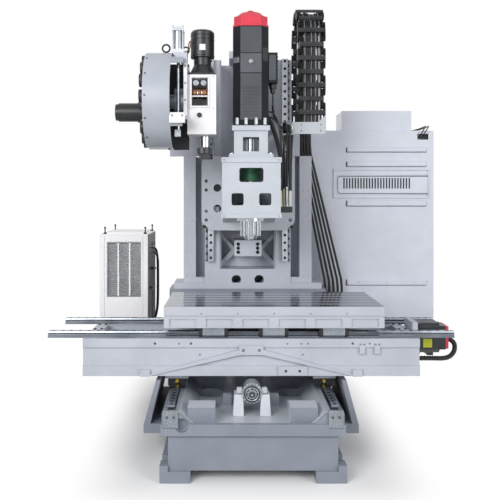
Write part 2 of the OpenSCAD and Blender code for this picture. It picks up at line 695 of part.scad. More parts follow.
// Front grille: slats in a frame with two uprights
module chiller_grille() color("#B9BCC0") {
    bar = 8;
    difference() {
        box([grille_w, 14, grille_h], [chiller_x + grille_x, chiller_y + 4, grille_z]);
        for (i = [0:2]) box([(grille_w - 4 * bar) / 3, 30, grille_h - 2 * bar],
            [chiller_x + grille_x + bar + i * ((grille_w - 4 * bar) / 3 + bar),
                chiller_y - 4, grille_z + bar]);
    }
    for (k = [0:25]) mid_box([grille_w - 8, 5, 8], [chiller_x + grille_x + grille_w / 2, chiller_y + 11,
        grille_z + 12 + k * (grille_h - 24) / 26]);
}

module chiller_shelf() color("#8E949E") {
    box([-rear_w / 2 - chiller_x, chiller_d - 20, shelf_t], [chiller_x, chiller_y + 10, chiller_z - shelf_t]);
    for (y = [40, chiller_d - 60]) translate([0, y + chiller_y + 20, 0]) rotate([90, 0, 0]) linear_extrude(20)
        polygon([[-rear_w / 2, chiller_z - shelf_t], [-rear_w / 2, 262], [-rear_w / 2 - 40, 262],
            [chiller_x + 60, chiller_z - shelf_t]]);
}

// Cable chain: links along a rise, a half loop and a fall
function chain_at(s) = s < chain_rise ? [chain_run_y, chain_z0 + s, 0]
    : s < chain_rise + PI * chain_r ? let (a = (s - chain_rise) / chain_r * 180 / PI)
        [chain_run_y + chain_r - chain_r * cos(a), chain_z0 + chain_rise + chain_r * sin(a), -a]
    : [chain_run_y + 2 * chain_r, chain_z0 + 2 * chain_rise + PI * chain_r - s, -180];

module chain_link(odd) {
    plate = 12;
    inset = odd ? plate + seat_gap : 0;
    h = 58;
    for (x = [inset, chain_w - inset - plate]) translate([x, 0, 0]) rotate([90, 0, 90])
        linear_extrude(plate) {
        square([h - 8, link_pitch], center = true);
        for (s = [-1, 1]) translate([0, s * link_pitch / 2]) circle(r = h / 2 - 7);
    }
    for (y = [-h / 2 + 2, h / 2 - 10]) translate([inset, y, -10]) cube([chain_w - 2 * inset, 8, 20]);
}

module drag_chain() color("#2B2B2E") for (i = [0:link_n - 1]) {
    p = chain_at((i + 0.5) * link_pitch);
    translate([chain_x0, p[0], p[1]]) rotate([p[2], 0, 0]) chain_link(i % 2 == 1);
}

// Stand for the fixed chain end, on the column shoulder
module chain_anchor() color("#B4B8C2") {
    y = chain_run_y + 2 * chain_r;
    box([120, 110, 12], [chain_x0, y + 27, shoulder_z]);
    box([120, 10, chain_end_z - shoulder_z + 40], [chain_x0 + 25, y + 27, shoulder_z]);
}

// Route i from the chain's fixed end, behind the front post of the column, to the cabinet wall
function column_route(i) = let (x = chain_x0 + 50 + 20 * i, y = chain_run_y + 2 * chain_r,
    top = shoulder_z + 20,
    spread = 194 + 10 * i, end_x = x + spread + 14) concat(
    [[x, y, chain_end_z - 30], [x, y, chain_end_z - 90], [x + 1, y + 4, top + 70]],
    [for (t = [0, 0.12, 0.4, 0.7, 1]) [x + 8 + t * (spread - 8), y + 12 + 50 * t, top * (1 - t) + 930 * t]],
    [[end_x - 6, y + 76, 868], [end_x, cabinet_y - 62, 812],
        [end_x, cabinet_y - 28, 792], [end_x, cabinet_y, 792]]);

module fixed_cables() color("#1C1D1F") for (i = [0:column_cable_n - 1]) tube(column_route(i), cable_r);

// Saddle casting: box body with banded front, roof-shaped rib, screw trough, pads over the Y ways
module saddle() color("#C9CCD6") {
    rib = 12;
    band = 10;
    half = saddle_l / 2;
    difference() {
        union() {
            mid_box([saddle_l, saddle_d - band, saddle_h], [0, saddle_y0 + band, saddle_z]);
            mid_box([saddle_l, saddle_d, 51], [0, saddle_y0, x_way_z - 51]);
            mid_box([saddle_l, saddle_d, 61], [0, saddle_y0, saddle_z]);
            for (s = [-1, 1]) translate([s * y_rail_x, 0, 0])
                mid_box([block_w + 20, saddle_d - 130, saddle_pad_h + eps],
                    [0, saddle_y0 + 130, saddle_z - saddle_pad_h]);
            // roof-shaped rib on the front
            both() front_plate(rib + band, saddle_y0 - rib, [[-eps, x_way_z - 62], [72, x_way_z - 62],
                [640, saddle_z],
                [600, saddle_z], [66, x_way_z - 92], [-eps, x_way_z - 92]]);
            both() mid_box([56, rib + band, 40], [615, saddle_y0 - rib - 4, saddle_z]);
            mid_box([140, rib + band, 56], [0, saddle_y0 - rib, x_way_z - 92]);
            mid_box([170, rib, 54], [240, saddle_y0 - rib + eps, saddle_z + 4]);
        }
        // trough for the X screw
        mid_box([saddle_l + 2 * eps, 220, 101], [0, table_y - 110, x_way_z - 100]);
        // core pockets underneath
        both() box([half - y_rail_x - block_w / 2 - 60, saddle_d - 120, 80],
            [y_rail_x + block_w / 2 + 30, saddle_y0 + 60, saddle_z - eps]);
        mid_box([560, saddle_d - 120, 80], [0, saddle_y0 + 60, saddle_z - eps]);
        // threaded mount holes in the front
        for (x = [200, 280]) along_y(40, 8, [x, saddle_y0 - 20, saddle_z + 30]);
        for (x = [-560, -350, 590]) along_y(40, 7, [x, saddle_y0 - 20, x_way_z - 28]);
    }
}

module y_blocks() color("#AEB3BA") for (s = [-1, 1], y = y_block_ys) translate([s * y_rail_x, y, way_z])
    guide_block();

module x_rails() color("#C8CCD0") for (y = x_rail_ys)
    translate([0, y, x_way_z]) rotate([0, 0, 90]) guide_rail(x_rail_l);

module x_screw_bearings() color("#B4B8C2") difference() {
    union() {
        box([70, 200, 120], [-saddle_l / 2 + 20, table_y - 100, x_way_z - 100]);
        box([70, 200, 120], [saddle_l / 2 - 90, table_y - 100, x_way_z - 100]);
        box([32, 200, 190], [saddle_l / 2, table_y - 100, x_screw_z - 92]);
    }
    along_x(2 * saddle_l, screw_r + shaft_gap, [-saddle_l, table_y, x_screw_z]);
}

module x_motor() color("#26282B") translate([saddle_l / 2 + 32, table_y, x_screw_z]) rotate([0, 90, 0])
    servo(180, 178);

module x_motor_cap() color("#DB3A4E") translate([saddle_l / 2 + 32 + 178, table_y, x_screw_z])
    rotate([0, 90, 0])
    linear_extrude(18) square(136, center = true);

module x_motor_hose() color("#1C1D1F") tube(hose_points, 14);

module y_nut() color("#8A8F96") difference() {
    union() {
        y0 = saddle_y0 + saddle_d - 190;
        along_y(140, 50, [0, y0, y_screw_z]);
        mid_box([150, 110, saddle_z + 79 - y_screw_z], [0, y0 + 15, y_screw_z]);
    }
    along_y(base_l, screw_r + shaft_gap, [0, base_front, y_screw_z]);
}

// Table with T-slots, a groove along the front and six recessed panels
module table() color("#BFC3CB") translate([table_x, table_y, 0]) {
    half = table_d / 2;
    panel = 155;
    difference() {
        mid_box([table_l, table_d, table_t], [0, -half, table_z]);
        for (i = [0:slot_n - 1]) translate([0, (i - (slot_n - 1) / 2) * slot_pitch, 0]) {
            mid_box([table_l + 2 * eps, slot_w, 40], [0, -slot_w / 2, table_top - 36]);
            mid_box([table_l + 2 * eps, slot_w + 14, 16], [0, -slot_w / 2 - 7, table_top - 36]);
        }
        mid_box([table_l + 2 * eps, 8, 8], [0, -half - eps, table_top - 60]);
        for (s = [-1, 1], i = [-2.5:2.5]) mid_box([panel, 12, 46],
            [i * 210, s > 0 ? half - 10 : -half - 2, table_z + 6]);
        mid_box([table_l - 120, x_rail_pitch - block_w - 40, 40],
            [0, -(x_rail_pitch - block_w - 40) / 2, table_z - eps]);
    }
}

module x_blocks() color("#AEB3BA") for (y = x_rail_ys, i = [-1, 0, 1])
    translate([table_x + i * x_block_pitch, y, x_way_z]) rotate([0, 0, 90]) guide_block();

module x_nut() color("#8A8F96") difference() {
    union() {
        along_x(150, 44, [table_x - 75, table_y, x_screw_z]);
        box([110, 130, table_z + 39 - x_screw_z], [table_x - 55, table_y - 65, x_screw_z]);
    }
    along_x(2 * saddle_l, screw_r + shaft_gap, [-saddle_l, table_y, x_screw_z]);
}

// Head casting: box around the spindle, neck, and the slide that rides on the column
module head() color("#D4D8DF") {
    neck_x = slide_w / 2 - 58;
    difference() {
        union() {
            side_plate(head_w, [[head_y0, head_z], [head_y0, head_top], [slide_front + eps, head_top],
                [slide_front + eps, slide_z + 20], [slide_front - 300, head_z]]);
            mid_box([head_w + 10, head_nose + 150, 30], [0, head_y0 - 5, head_top - 30]);
            mid_box([head_w + 10, head_nose + 150, 28], [0, head_y0 - 5, head_z]);
            front_plate(slide_rear - slide_front, slide_front, [[-slide_w / 2, slide_z + 60],
                [-slide_w / 2, slide_z + slide_h],
                [slide_w / 2, slide_z + slide_h], [slide_w / 2, slide_z + 60], [slide_w / 2 - 60, slide_z],
                [60 - slide_w / 2, slide_z]]);
            front_plate(140, slide_front - 140 + eps, [[-head_w / 2, head_z + 20],
                [head_w / 2, head_z + 20], [neck_x, slide_z + 8],
                [-neck_x, slide_z + 8]]);
        }
        // coupling space, open to the tower above
        mid_box([head_w - 90, 284, head_h], [0, head_y0 + 40, head_z + 66]);
        // front windows
        round_window(140, 82, 14, [0, head_y0 - 10, head_z + 250], 120);
        both() round_window(70, 70, 12, [80, head_y0 - 10, head_z + 109], 120);
        // spindle bore and the two round openings of the slide
        translate([0, spindle_y, head_z - eps]) cylinder(h = 100, r = cartridge_r);
        both() for (z = [150, 290]) along_y(100, 26, [head_w / 2 + 40, slide_front - eps, slide_z + z]);
    }
}

module z_blocks() color("#AEB3BA") for (s = [-1, 1], z = z_block_zs)
    translate([s * z_rail_x, z_way_y, z]) rotate([90, 0, 0]) guide_block();

module z_nut() color("#8A8F96") difference() {
    union() {
        translate([0, z_screw_y, slide_z + 265]) cylinder(h = 160, r = 46);
        mid_box([140, z_screw_y - slide_rear, 110], [0, slide_rear, slide_z + 290]);
    }
    translate([0, z_screw_y, 0]) cylinder(h = 3 * column_top, r = screw_r + shaft_gap);
}

// Tower between head and motor: flanged box with windows on four sides
module motor_tower() color("#D4D8DF") translate([0, spindle_y, head_top]) difference() {
    union() {
        translate([-130, -130, 0]) cube([260, 260, 24]);
        translate([-100, -100, 0]) cube([200, 200, tower_h]);
        translate([-112, -112, tower_h - 30]) cube([224, 224, 30]);
    }
    translate([-70, -70, -eps]) cube([140, 140, tower_h - 20]);
    translate([-48, -140, 40]) cube([96, 280, 84]);
    translate([-140, -48, 40]) cube([280, 96, 84]);
    translate([0, 0, tower_h - 40]) cylinder(h = 60, r = 62);
}

// Spindle motor: octagonal finned body on a foot plate, with a terminal box
module spindle_motor() color("#5A5D61") translate([0, spindle_y, tower_top]) {
    a = motor_w / 2;
    c = motor_w / 5;
    difference() {
        union() {
            translate([-a, -a, 0]) cube([motor_w, motor_w, 30]);
            translate([0, 0, 30]) linear_extrude(motor_h) polygon([[c - a, -a], [a - c, -a], [a, c - a],
                [a, a - c],
                [a - c, a], [c - a, a], [-a, a - c], [-a, c - a]]);
            translate([a - eps, -60, 260]) cube([55, 120, 180]);
        }
        translate([0, 0, -eps]) cylinder(h = 22, r = 62);
        translate([0, 0, 20]) cylinder(h = 60, r = 26);
        for (s = [-1, 1], y = [-40, -14, 12, 38]) translate([s > 0 ? a - 5 : -a - 5, y - 5, 60])
            cube([10, 10, motor_h - 360]);
    }
}

module motor_cap() color("#DB3A4E") translate([0, spindle_y, motor_top]) {
    a = motor_w / 2 - 6;
    c = a * 0.42;
    linear_extrude(62) polygon([[c - a, -a], [a - c, -a], [a, c - a], [a, a - c], [a - c, a], [c - a, a],
        [-a, a - c], [-a, c - a]]);
    translate([0, 0, 62]) cylinder(h = 30, r1 = a - 4, r2 = a - 34);
    translate([0, 0, 92]) cylinder(h = 20, r1 = 34, r2 = 18);
}

// Spindle cartridge: a flange under the head, a slim barrel and a ring of coolant pipes
module spindle_cartridge() color("#C8CCD0") translate([0, spindle_y, 0]) difference() {
    union() {
        translate([0, 0, head_z - 22]) cylinder(h = 112, r = cartridge_r - seat_gap);
        translate([0, 0, head_z - 22]) cylinder(h = 22, r = cartridge_r + 12);
        translate([0, 0, head_z - 104]) cylinder(h = 90, r = spindle_r + 9);
        for (i = [0:11]) rotate([0, 0, 15 + 30 * i]) translate([spindle_r + 13, 0, head_z - 112])
            cylinder(h = 96, r = 7);
    }
    translate([0, 0, head_z - 130]) cylinder(h = 300, r = spindle_r + shaft_gap);
}

module spindle_shaft() color("#DADDE0") translate([0, spindle_y, 0]) difference() {
    union() {
        translate([0, 0, head_z - 112]) cylinder(h = 282, r = spindle_r);
        translate([0, 0, head_z - nose_drop]) cylinder(h = nose_drop - 112, r1 = spindle_r - 8,
            r2 = spindle_r);
        translate([0, 0, head_z + 169]) cylinder(h = tower_top - head_z - 169 + 70, r = 24);
    }
    translate([0, 0, head_z - nose_drop - eps]) cylinder(h = 66, r1 = 22.3, r2 = 13);
}

module drive_coupling() color("#3F7F5A") translate([0, spindle_y, head_top - 132]) difference() {
    union() {
        cylinder(h = 40, r = 55);
        translate([0, 0, 40]) cylinder(h = 10, r = 48);
        translate([0, 0, 50]) cylinder(h = 40, r = 55);
    }
    translate([0, 0, -eps]) cylinder(h = 100, r = 24);
}

// Plate on the head that carries the moving end of the chain
module chain_bracket() color("#DDE0E6") difference() {
    x1 = chain_x0 + chain_w;
    union() {
        front_plate(8, bracket_y, [[60, head_top], [head_w / 2, head_top], [chain_x0 - 20, bracket_z],
            [x1, bracket_z],
            [x1, bracket_z + bracket_h], [222, bracket_z + bracket_h], [60, head_top + 90]]);
        box([chain_w, 60, 8], [chain_x0, bracket_y + 8 - eps, bracket_z + bracket_h - 8]);
        front_plate(4, bracket_y, [[x1 - 50, bracket_z + bracket_h - eps], [x1, bracket_z + bracket_h - eps],
            [x1, bracket_z + bracket_h + 48]]);
        box([head_w / 2 - 60, 60, 10], [60, bracket_y, head_top]);
    }
    along_y(20, 28, [chain_x0 - 62, bracket_y - 6, bracket_z + 42]);
}

module cable_manifold() color("#222427")
    box([82, 60, 36], [head_w / 2, spindle_y - 20, head_z + 28]);

module head_cables() color("#1C1D1F") for (i = [-1, 0, 1])
    tube([for (p = head_cable_points) p + [i * 22, 0, 0]], cable_r);

module x_screw() color("#B9BDC2") along_x(saddle_l - 30, screw_r, [-saddle_l / 2 + 30, table_y, x_screw_z]);
module y_screw() color("#B9BDC2") along_y(seat_front + 69 - base_front - 180, screw_r, [0,
    base_front + 180, y_screw_z]);
module z_screw() color("#B9BDC2") translate([0, z_screw_y, z_rail_z + 61])
    cylinder(h = column_top + 49.7 - z_rail_z - 61, r = screw_r);

base();
column();
y_rails();
y_rail_stops();
y_screw_bearings();
y_motor();
z_rails();
z_screw_bearings();
z_motor();
changer_bracket();
cam_box();
cam_box_motor();
magazine_cover();
magazine_axle();
magazine_motor();
air_cylinder();
cabinet();
cabinet_top_box();
chiller();
chiller_grille();
chiller_shelf();
chain_anchor();
drag_chain();
fixed_cables();
cam_drum();
cabinet_door_left();
cabinet_door_right();
door_handle();
saddle();
y_blocks();
x_rails();
x_screw_bearings();
x_motor();
x_motor_cap();
x_motor_hose();
y_nut();
table();
x_blocks();
x_nut();
head();
z_blocks();
z_nut();
motor_tower();
spindle_motor();
motor_cap();
spindle_cartridge();
chain_bracket();
cable_manifold();
head_cables();
spindle_shaft();
drive_coupling();
x_screw();
y_screw();
z_screw();
magazine_disc();
tool_pots();
change_pot();
pot_rod();
arm_sleeve();
tool_arm();
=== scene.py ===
"""Looks of a bare vertical machining centre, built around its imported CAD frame. Metres, X right, Y back, Z up."""

import itertools
import math

import bmesh
import bpy
from mathutils import Matrix, Vector


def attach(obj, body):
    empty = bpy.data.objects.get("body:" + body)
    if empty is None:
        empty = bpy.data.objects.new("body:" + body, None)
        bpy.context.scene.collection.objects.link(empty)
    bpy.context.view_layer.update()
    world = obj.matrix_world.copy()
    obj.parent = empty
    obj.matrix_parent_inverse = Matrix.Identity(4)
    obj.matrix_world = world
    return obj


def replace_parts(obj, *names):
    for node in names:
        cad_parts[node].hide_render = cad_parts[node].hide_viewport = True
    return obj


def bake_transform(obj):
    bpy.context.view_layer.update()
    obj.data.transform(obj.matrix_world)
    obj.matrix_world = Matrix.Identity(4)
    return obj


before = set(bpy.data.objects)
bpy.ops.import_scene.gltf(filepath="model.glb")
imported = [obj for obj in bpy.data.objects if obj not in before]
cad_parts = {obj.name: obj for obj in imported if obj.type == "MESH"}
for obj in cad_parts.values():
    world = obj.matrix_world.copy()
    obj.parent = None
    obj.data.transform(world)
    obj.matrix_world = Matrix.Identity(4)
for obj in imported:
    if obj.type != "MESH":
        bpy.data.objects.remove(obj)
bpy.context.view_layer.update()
scene = bpy.context.scene

# Places taken from the part's source, in metres
SPINDLE_Y = -0.508
WAY_Y = 0.132
BASE_FRONT = -1.0
Y_RAIL_X = 0.442
WAY_Z = 0.365
RAIL_H = 0.038
X_RAIL_YS = (-0.620, -0.198)
X_WAY_Z = 0.700
TABLE_X = 0.130
TABLE_Y = -0.409
TABLE_TOP = 0.893
Z_RAIL_X = 0.257
Z_RAIL_Z = 1.075
COLUMN_TOP = 2.482
HEAD_TOP = 1.754
SLIDE_FRONT = 0.0
SADDLE_FRONT = -0.670
Y_SCREW_Z = 0.418
CHAIN_X = (0.315, 0.495)
CHAIN_FRONT_Y = -0.200
CHAIN_LOOP_R = 0.216
CHAIN_Z0 = 2.029
CHAIN_RISE = 0.518

FRONT, UP, RIGHT = (0, -1, 0), (0, 0, 1), (1, 0, 0)


def both(reach, middle=0.0):
    return middle - reach, middle + reach


def steps(first, pitch, count):
    return [first + pitch * i for i in range(count)]


# Materials

def linear(code):
    """sRGB hex to a linear RGBA colour."""
    parts = [int(code[i:i + 2], 16) / 255 for i in (1, 3, 5)]
    return [c / 12.92 if c <= 0.04045 else ((c + 0.055) / 1.055) ** 2.4 for c in parts] + [1.0]


def add(tree, kind, settings=(), **sockets):
    """Adds a node and gives its outputs. A socket is named with _ for a space, or as i and its number,
    and takes a link from another socket or a plain value."""
    node = tree.nodes.new(kind)
    for key, value in dict(settings).items():
        setattr(node, key, value)
    for key, value in sockets.items():
        socket = node.inputs[int(key[1:]) if key[1:].isdigit() else key.replace("_", " ")]
        if isinstance(value, bpy.types.NodeSocket):
            tree.links.new(value, socket)
        else:
            socket.default_value = value
    return node.outputs


def calc(tree, operation, *terms):
    """The outcome of a sum on sockets and plain numbers."""
    sockets = {f"i{i}": term for i, term in enumerate(terms)}
    return add(tree, "ShaderNodeMath", {"operation": operation}, **sockets)["Value"]


def spread(tree, value, low, high, start=0.0, end=1.0, shape="LINEAR"):
    """Goes from low to high while the value goes from start to end."""
    return add(tree, "ShaderNodeMapRange", {"interpolation_type": shape}, Value=value, From_Min=start, From_Max=end,
               To_Min=low, To_Max=high)["Result"]


def noise(tree, where, scale, detail, rough=0.5):
    return add(tree, "ShaderNodeTexNoise", Vector=where, Scale=scale, Detail=detail, Roughness=rough)["Fac"]


def ramp(tree, fac, shade, colour, low=0.0, high=1.0):
    """Goes from shade to colour while fac goes from low to high."""
    tone = add(tree, "ShaderNodeValToRGB", Fac=fac)["Color"]
    for stop, place, code in zip(tone.node.color_ramp.elements, (low, high), (shade, colour)):
        stop.position = place
        stop.color = linear(code)
    return tone


def blend_colours(tree, fac, one, two):
    return add(tree, "ShaderNodeMix", {"data_type": "RGBA"}, i0=fac, i6=one, i7=two)[2]


def relief(tree, height, strength, distance=0.0003, **under):
    return add(tree, "ShaderNodeBump", Strength=strength, Distance=distance, Height=height, **under)["Normal"]


def surface(tree, colour, rough, normal, **sockets):
    skin = add(tree, "ShaderNodeBsdfPrincipled", Base_Color=colour, Roughness=rough, Normal=normal, **sockets)
    add(tree, "ShaderNodeOutputMaterial", Surface=skin["BSDF"])


def new_material(name):
    """A material, its empty tree and the object's own coordinates in it."""
    mat = bpy.data.materials.new(name)
    mat.use_nodes = True
    tree = mat.node_tree
    tree.nodes.clear()
    return mat, tree, add(tree, "ShaderNodeTexCoord")["Object"]


def painted_light_coat(tree, where, outer, half, ys, zs, wall_x, colour):
    """Painted light: a paler coat between -half and half, on walls facing the middle out to wall_x, within ys and zs.
    Over the last FADE to the back it fades out as painted shade; faces to the front keep the outer coat."""
    split = add(tree, "ShaderNodeSeparateXYZ", Vector=where)
    normal = add(tree, "ShaderNodeTexCoord")["Normal"]
    facing = add(tree, "ShaderNodeSeparateXYZ", Vector=normal)
    across = calc(tree, "ABSOLUTE", split["X"])
    inward = calc(tree, "LESS_THAN", calc(tree, "MULTIPLY", split["X"], facing["X"]), -0.05)
    walls = calc(tree, "MULTIPLY", inward, calc(tree, "LESS_THAN", across, wall_x))
    inside = spread(tree, split["Y"], 1.0, 0.0, ys[1] - FADE, ys[1])
    for test in (("MAXIMUM", calc(tree, "LESS_THAN", across, half), walls), ("GREATER_THAN", split["Y"], ys[0]),
                 ("GREATER_THAN", split["Z"], zs[0]), ("LESS_THAN", split["Z"], zs[1]),
                 ("GREATER_THAN", facing["Y"], -0.5)):
        inside = calc(tree, "MULTIPLY", inside, calc(tree, *test))
    return blend_colours(tree, inside, outer, linear(colour))


# Depth over which the trough's painted light gives way to painted shade at the back
FADE = 0.22
PAINT_EDGE = 0.003
PEEL_SCALE = 900.0
GRIT_SCALE = 750.0


def painted(name, colour, shade, rough, peel_mm=3.0, peel=0.12, ior=1.5, inside=None):
    """Sprayed enamel: a faint orange peel, cloudy shifts of tone and edges rounded by the paint."""
    mat, tree, where = new_material(name)
    cloud = noise(tree, where, 5.0, 4.0, 0.6)
    fleck = noise(tree, where, PEEL_SCALE / peel_mm, 2.0)
    paint = ramp(tree, cloud, shade, colour, 0.30, 0.62)
    if inside:
        paint = painted_light_coat(tree, where, paint, *inside)
    gloss = spread(tree, cloud, rough - 0.06, rough + 0.08, 0.3, 0.7)
    soft = add(tree, "ShaderNodeBevel", {"samples": 4}, Radius=PAINT_EDGE)
    surface(tree, paint, gloss, relief(tree, fleck, peel, 0.0006, Normal=soft["Normal"]), IOR=ior)
    return mat


def metal(name, colour, shade, rough, scale, strength=0.05, grain=(1.0, 1.0, 1.0)):
    """Bare metal: brushed or ground lines stretched along one direction, brighter and darker in streaks."""
    mat, tree, where = new_material(name)
    along = add(tree, "ShaderNodeMapping", Vector=where, Scale=grain)
    lines = noise(tree, along["Vector"], scale, 3.0, 0.65)
    streaks = calc(tree, "MULTIPLY", lines, noise(tree, where, 7.0, 2.0))
    gloss = spread(tree, lines, rough - 0.06, rough + 0.10, 0.25, 0.75)
    surface(tree, ramp(tree, streaks, shade, colour, 0.12, 0.40), gloss, relief(tree, lines, strength), Metallic=1.0)
    return mat


def moulded(name, colour, shade, rough, ior=1.48):
    """Moulded plastic or rubber: a fine spark-eroded grain and cloudy shifts of tone."""
    mat, tree, where = new_material(name)
    grit = noise(tree, where, GRIT_SCALE, 2.0)
    cloud = noise(tree, where, 14.0, 3.0)
    gloss = spread(tree, cloud, rough - 0.08, rough + 0.10)
    surface(tree, ramp(tree, cloud, shade, colour, 0.35, 0.70), gloss, relief(tree, grit, 0.15), IOR=ior)
    return mat


# Cast iron under two coats of pale grey enamel: smooth from a distance, softly mottled close to
casting = painted("grey_casting_enamel", "#BDC1CB", "#B3B8C2", 0.40)
# The same enamel, darker, on the base. The paler paint inside its trough is a guess that stands as painted light,
# and its fading out towards the back is painted shade under the saddle
TROUGH = (Y_RAIL_X, (BASE_FRONT + 0.0305, -0.36), (0.2005, WAY_Z + 0.06))
base_enamel = painted("base_casting_enamel", "#8B919D", "#818793", 0.42, inside=(*TROUGH, 0.66, "#BFC4CC"))
# A lighter coat of it on the machined pillar faces
pale_casting = painted("pale_casting_enamel", "#D6D9E0", "#CBCFD7", 0.42)
# Finer, lighter enamel on the spindle head and its tower
head_enamel = painted("head_casting_enamel", "#BEC3CB", "#B5BAC3", 0.38)
# Near-white enamel of the cam box
pale_enamel = painted("pale_enamel", "#E9E9EB", "#DFDFE2", 0.35)
# Powder coat on folded sheet, with a finer, tighter peel
sheet_coat = painted("cabinet_powder_coat", "#D2D6E1", "#C9CDD9", 0.45, 2.0, 0.16)
# Grey powder coat of the magazine cover
cover_coat = painted("magazine_powder_coat", "#AEB3BD", "#A5AAB5", 0.30, 2.0, 0.10)
# White powder coat of the chiller
white_coat = painted("chiller_powder_coat", "#F8F8FA", "#F4F4F7", 0.40, 2.0, 0.10)
# Galvanised steel of the grille
grille_zinc = metal("grille_zinc", "#8E9194", "#6E7174", 0.45, 60.0, 0.08)
# Hardened and ground rail steel, lines along the rail.
# The X rails' copy is darker: painted shade that stands for their dark reflections
rail_y = metal("ground_rail_steel_y", "#B2B6BD", "#969AA2", 0.22, 240.0, grain=(1.0, 0.03, 1.0))
shaded_rail_x = metal("ground_rail_steel_x_painted_shade", "#8F949C", "#6C7179", 0.22, 240.0, grain=(0.03, 1.0, 1.0))
rail_z = metal("ground_rail_steel_z", "#BFC3CA", "#A3A7AF", 0.22, 240.0, grain=(1.0, 1.0, 0.03))
# Turned steel of the spindle, cartridge and shafts
turned_steel = metal("turned_steel", "#B9BDC3", "#A4A8AF", 0.16, 300.0, 0.02, (0.2, 0.2, 1.0))
# Grey phosphated steel of guide blocks and nuts
block_steel = metal("phosphated_block_steel", "#A6ABB2", "#7F858D", 0.40, 90.0)
# Zinc-plated screws
screw_zinc = metal("zinc_plated_screw", "#B9BCC0", "#8C9095", 0.32, 120.0)
# Blackened high-tensile screws
screw_black = metal("black_oxide_screw", "#3A3C40", "#232427", 0.45, 120.0)
# Anodised aluminium tube and tie rods of the air cylinder
anodised = metal("anodised_aluminium", "#A6AAB0", "#868A91", 0.40, 180.0, grain=(1.0, 1.0, 0.05))
# Machined cast iron of the disc and axle
machined_iron = metal("machined_cast_iron", "#9EA3AA", "#7B8087", 0.42, 130.0, 0.10)
# Bronze of the cam drum
cam_bronze = metal("cam_bronze", "#A0714E", "#744C32", 0.35, 150.0, grain=(0.1, 1.0, 1.0))
# Charcoal enamel of the motors, satin
motor_enamel = painted("charcoal_motor_enamel", "#1F2226", "#191C20", 0.50, 2.5, 0.16, ior=1.25)
# Satin paint of the spindle motor's front panels and plate, paler than its flanks; the panels' paleness is painted
# light
lit_motor_panel = painted("motor_panel_painted_light", "#43474D", "#3C4046", 0.38, 2.5, 0.14)
motor_plate = painted("motor_plate_enamel", "#54585E", "#4D5157", 0.32)
# Darker charcoal of servo motors
servo_enamel = painted("dark_servo_enamel", "#202226", "#17191C", 0.34, 2.5, 0.14)
# Red enamel of the motor caps
red_cap = painted("red_cap_enamel", "#DB3B4F", "#C92E43", 0.36, 2.0, 0.10)
# Green enamel of the shaft coupling
coupling_green = painted("coupling_green_enamel", "#4D8C66", "#3C7653", 0.40)
# Black nylon of the chain, pots and plugs
chain_nylon = moulded("black_chain_nylon", "#1D1D20", "#151517", 0.50, ior=1.25)
black_nylon = moulded("black_nylon", "#2A2B2E", "#1E1F21", 0.45)
# Rubber cable jackets and hoses
cable_rubber = moulded("black_cable_rubber", "#262729", "#1A1B1C", 0.60)
# Seal rubber on the guide blocks
seal_rubber = moulded("block_end_seal", "#1F2022", "#151617", 0.50)
# Brown air hose
hose_brown = moulded("brown_air_hose", "#7A5A3E", "#65482F", 0.40)
# Yellow plastic caps of the grease nipples
grease_yellow = moulded("yellow_grease_cap", "#E3C542", "#CFAE2C", 0.35)
# Grey nylon of the chain's snap-in crossbars, paler than the links
bar_nylon = moulded("grey_crossbar_nylon", "#47484D", "#37383C", 0.48, ior=1.25)
# Grey among the black cables in the chain as painted highlight on them, and a grey sleeve on the manifold
grey_cable_and_highlight = moulded("grey_jacket_and_painted_highlight", "#8C8E90", "#76787B", 0.50)
# Olive and ivory sleeves of the hose ends
sleeve_olive = moulded("olive_hose_sleeve", "#8E8F6A", "#78795A", 0.45)
sleeve_ivory = moulded("ivory_hose_sleeve", "#D9DAD2", "#C6C7BE", 0.40)
# Near-black painted shade: behind the magazine, inside and around the chiller's open side,
# in grooves, slots, vents, the louvre and the slide's bolt holes
shade_black = painted("painted_shade_black", "#2B2D31", "#232529", 0.55, 2.0, 0.12)
# Painted shade in the gaps under and beside the cabinet's ribs and inside its bead
gap_shade = painted("painted_gap_shade", "#70757F", "#646973", 0.60, 2.0, 0.10)
# White and yellow film of the blank plates
blank_white = moulded("blank_white_film", "#EDEDEE", "#E2E2E4", 0.35)
blank_yellow = moulded("blank_yellow_film", "#D5DB35", "#C3C82A", 0.38)


def table_surface():
    """Painted cast table with a ground top: the shader changes over just below the top face."""
    mat, tree, where = new_material("ground_table_iron")
    height = add(tree, "ShaderNodeSeparateXYZ", Vector=where)["Z"]
    top = calc(tree, "GREATER_THAN", height, TABLE_TOP - 0.0004)
    along = add(tree, "ShaderNodeMapping", Vector=where, Scale=(0.05, 1.0, 1.0))
    lines = noise(tree, along["Vector"], 300.0, 3.0)
    paint = ramp(tree, noise(tree, where, 4.0, 3.0), "#AEB3BD", "#C3C7D0")
    steel = ramp(tree, lines, "#5B606A", "#7B808A")
    surface(tree, blend_colours(tree, top, paint, steel), spread(tree, top, 0.42, 0.16), relief(tree, lines, 0.04),
            Metallic=top)
    return mat


table_iron = table_surface()

